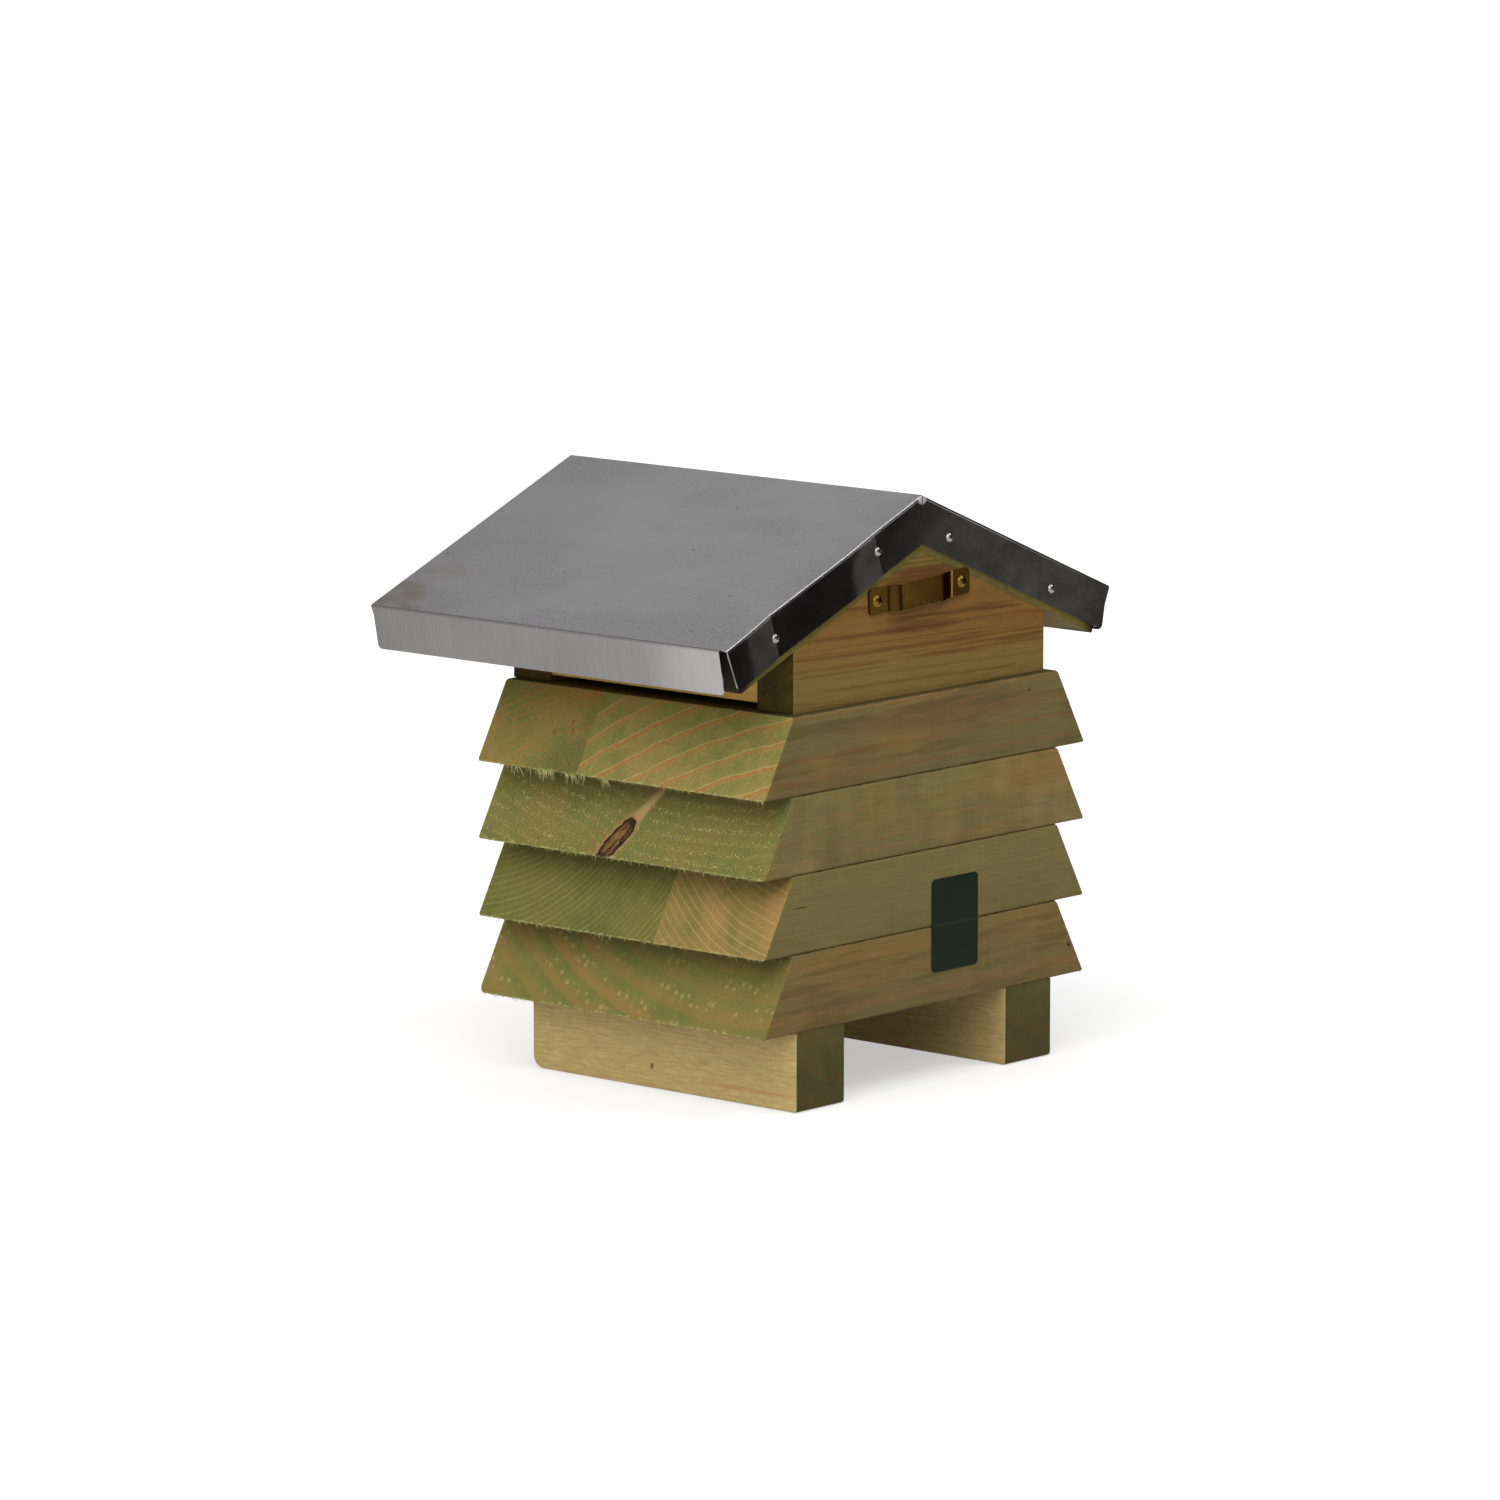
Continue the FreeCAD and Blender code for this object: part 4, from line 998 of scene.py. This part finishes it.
roof_nails = finished(gathered(turned), "sheet_nails_finish", "sheet_nails")
nail_tones = (0.24, 0.235, 0.23, 1.0), (0.36, 0.355, 0.35, 1.0)
roof_nails.data.materials.append(scuffed_metal("bright_nail", 700.0, *nail_tones, 0.03, 0.06))

# %% [markdown]
# ## The hanger
# A strap of sheet brass: two ears lie flat on the gable, and the middle stands off so that a wall nail fits
# behind it. One ramp is longer than the other, as on a strap bent by hand. V-shaped notches in the lower
# edge catch the nail. It is drawn flat with its rounded corners and notches, given its thickness, and then
# bent by moving every point along the curve of the strap.

# %% Strap outline
STRAP_LENGTH, STRAP_HEIGHT, STRAP_THICKNESS = 0.0584, 0.010, 0.0008
EAR_LENGTH, NEAR_RAMP, FAR_RAMP, STRAP_RAISE = 0.0102, 0.0058, 0.0108, 0.003
CORNER_RADIUS, CORNER_STEPS = 0.0016, 5
NOTCH_DEPTH, NOTCH_HALF = 0.0016, 0.0012
STRAP_TILT = math.radians(2.6)
strap_low, strap_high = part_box("hanger_strap")
strap_middle = Vector(((strap_low.x + strap_high.x) / 2, strap_low.y, (strap_low.z + strap_high.z) / 2))
outline = []
for side_x, side_z, start in ((1, 1, 0.0), (-1, 1, 90.0), (-1, -1, 180.0), (1, -1, 270.0)):
    centre_x = side_x * (STRAP_LENGTH / 2 - CORNER_RADIUS)
    centre_z = side_z * (STRAP_HEIGHT / 2 - CORNER_RADIUS)
    for step in range(CORNER_STEPS + 1):
        angle = math.radians(start + 90.0 / CORNER_STEPS * step)
        x = centre_x + CORNER_RADIUS * math.cos(angle)
        outline.append((x, centre_z + CORNER_RADIUS * math.sin(angle)))
    if side_x < 0 and side_z < 0:
        for notch in (-0.0081, -0.0027, 0.0027, 0.0081):
            for x, depth in ((-NOTCH_HALF, 0.0), (0.0, NOTCH_DEPTH), (NOTCH_HALF, 0.0)):
                outline.append((notch + x, depth - STRAP_HEIGHT / 2))
print("strap outline:", len(outline), "points, middle at", [round(v * 1000, 2) for v in strap_middle])


# %% Strap, thickened and bent
def thicken(shape, depth):
    """Pushes a flat face out along Y into a solid."""
    pushed = bmesh.ops.extrude_face_region(shape, geom=shape.faces[:])["geom"]
    moved = [part for part in pushed if isinstance(part, bmesh.types.BMVert)]
    bmesh.ops.translate(shape, verts=moved, vec=(0.0, depth, 0.0))
    bmesh.ops.recalc_face_normals(shape, faces=shape.faces)


RAMP_STEPS, STRAP_EASE, RIM_TURN = 16, 0.00012, 1.2
shape = bmesh.new()
shape.faces.new([shape.verts.new((x, 0.0, z)) for x, z in outline])
ramp_foot = STRAP_LENGTH / 2 - EAR_LENGTH
for step in range(RAMP_STEPS + 1):
    for side, ramp in ((1, NEAR_RAMP), (-1, FAR_RAMP)):
        x = side * (ramp_foot - ramp * step / RAMP_STEPS)
        whole = shape.verts[:] + shape.edges[:] + shape.faces[:]
        bmesh.ops.bisect_plane(shape, geom=whole, dist=1e-7, plane_co=(x, 0, 0), plane_no=(1, 0, 0))
thicken(shape, STRAP_THICKNESS)
rims = [edge for edge in shape.edges if edge.calc_face_angle(0.0) > RIM_TURN]
rims = [edge for edge in rims if abs(edge.verts[0].co.y - edge.verts[1].co.y) < 1e-6]
rounded(shape, rims, STRAP_EASE)
for vert in shape.verts:
    x, thick, z = vert.co
    ramp = NEAR_RAMP if x > 0 else FAR_RAMP
    share = min(1.0, max(0.0, (ramp_foot - abs(x)) / ramp))
    rise = STRAP_RAISE * share**2 * (3 - 2 * share)
    slope = math.copysign(STRAP_RAISE / ramp * 6 * share * (1 - share), -x)
    away = Vector((-slope, 1.0, 0.0)).normalized()
    vert.co = Vector((x, rise, z)) + away * thick
settle(shape, STRAP_TILT, "Y", strap_middle)
strap = finished(shape, "hanger_strap_finish", "hanger_strap", crease=50.0)
evened = strap.modifiers.new("even_shading", "WEIGHTED_NORMAL")
evened.keep_sharp = True

# %% Brass
brass, tree, shader = new_material("dull_brass")
coords = node("TexCoord", {}, tree)
place = coords.outputs["Object"]
scuff = noise(place, (120.0, 300.0, 300.0), 3.0)
facing = coord(coords.outputs["Normal"], "X")
# Painted shade: the ramps, which face sideways, are painted dark brown.
ramp_shade = times(fade(calc("ABSOLUTE", facing), 0.06, 0.35), 0.92)
tone = blend(scuff, paint(140, 104, 42), paint(168, 128, 60))
along = coord(place, "X")
# Painted sheen: the strap is painted brighter towards its near end.
painted_sheen = times(fade(along, strap_middle.x - 0.010, strap_middle.x + 0.012), 0.6)
tone = blend(painted_sheen, tone, paint(214, 166, 80))
tone = blend(ramp_shade, tone, paint(50, 33, 12))
# Painted highlight: a pale, rougher line along the far fold, where the ramp meets the ear.
far_fold = strap_middle.x - ramp_foot + 0.0002
fold = fade(calc("ABSOLUTE", calc("SUBTRACT", along, far_fold)), 0.0006, 0.0002)
feed(shader, {
    "Base Color": blend(fold, tone, paint(230, 186, 132)), "Specular Tint": paint(176, 120, 60),
    "Metallic": 1.0, "Roughness": scaled(fold, 0.4, scaled(scuff, 0.16, 0.16)),
})
strap.data.materials.append(brass)
print("brass strap folds at x =", round(far_fold * 1000, 1), "mm")

# %% Screws of the hanger
SCREW_RADIUS, SCREW_RISE = 0.0025, 0.0015
SCREW_SHANK, SCREW_LENGTH, SCREW_POINT = 0.0013, 0.012, 0.0039
screw_outline = dome(SCREW_RADIUS, SCREW_RISE, DOME_STEPS) + [
    (SCREW_RADIUS * UNDERCUT, 0.0), (SCREW_SHANK, 0.0),
    (SCREW_SHANK, SCREW_POINT - SCREW_LENGTH), (0.0, -SCREW_LENGTH),
]
ARM, HALF_ARM, RECESS, BLOCK = 0.0013, 0.0003, 0.0009, 0.003
FIRST_TURN, NEXT_TURN = 25.0, 40.0


def driver_cross(seat, degrees):
    """A cross-shaped block that reaches into a screw's head."""
    cross = bmesh.new()
    corners = []
    for quarter in range(4):
        turn = Matrix.Rotation(-quarter * math.pi / 2, 3, "Y")
        for x, z in ((ARM, -HALF_ARM), (ARM, HALF_ARM), (HALF_ARM, HALF_ARM)):
            corners.append(cross.verts.new(turn @ Vector((x, 0.0, z))))
    cross.faces.new(corners)
    thicken(cross, BLOCK)
    settle(cross, math.radians(degrees), "Y", seat + Vector((0.0, SCREW_RISE - RECESS, 0.0)))
    return cross


turned, crosses = [], []
for index, (low, high) in enumerate(loose_boxes("hanger_screws")):
    seat = Vector(((low.x + high.x) / 2, high.y - SCREW_RISE, (low.z + high.z) / 2))
    turned.append(spun(screw_outline, seat, 1.0, steps=32))
    crosses.append(driver_cross(seat, FIRST_TURN + NEXT_TURN * index))
screws = finished(gathered(turned), "hanger_screws_finish", "hanger_screws")
cutter = as_object(gathered(crosses), "driver_cross")
recess = screws.modifiers.new("recess", "BOOLEAN")
recess.object = cutter
recess.operation = "DIFFERENCE"
recess.solver = "EXACT"
cut = screws.evaluated_get(bpy.context.evaluated_depsgraph_get())
cut_mesh = bpy.data.meshes.new_from_object(cut)
screws.modifiers.clear()
screws.data = cut_mesh
bpy.data.objects.remove(cutter)
screws.data.materials.clear()
screw_tones = paint(104, 78, 30), paint(136, 106, 48)
screws.data.materials.append(scuffed_metal("screw_brass", 700.0, *screw_tones, 0.2, 0.16))
print("screw faces after the cut:", len(screws.data.polygons))

# %% [markdown]
# ## The sticker and the hidden screws
# The sticker is a film of dark green plastic, blank here. It lies across the joint of two tiers, and a
# faint crease along that joint is drawn as a paler line in its colour, a painted highlight. The zinc-plated
# screws and nails that hold the boards together are hidden, apart from a few heads under the feet and the
# bottom tier.

# %% Sticker
green_film, tree, shader = new_material("green_film")
place = own_place(tree)
film = blend(noise(place, (90.0, 90.0, 90.0), 3.0), paint(14, 28, 18), paint(24, 38, 26))
# Painted highlight: a paler line along the crease over the tiers' joint.
joint = tier_edges(4)[1]
from_joint = calc("ABSOLUTE", calc("SUBTRACT", coord(place, "Z"), joint))
film = blend(times(fade(from_joint, 0.0007, 0.0), 0.25), film, paint(70, 80, 66))
feed(shader, {"Base Color": film, "Roughness": 0.5, "Specular IOR Level": 0.1})
shape = merged_copy("blank_sticker")
sticker = finished(shape, "blank_sticker_finish", "blank_sticker", BOARD_CREASE)
sticker.data.materials.append(green_film)

# %% Zinc-plated screws and nails
zinc = scuffed_metal("zinc_plating", 400.0, (0.5, 0.49, 0.46, 1.0), (0.68, 0.66, 0.62, 1.0), 0.25, 0.2)
PLATED = ("tier_screws", "gable_screws", "foot_screws", "roof_board_nails")
for name in PLATED:
    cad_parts[name].data.materials[0] = zinc
print("zinc-plated groups:", len(PLATED))
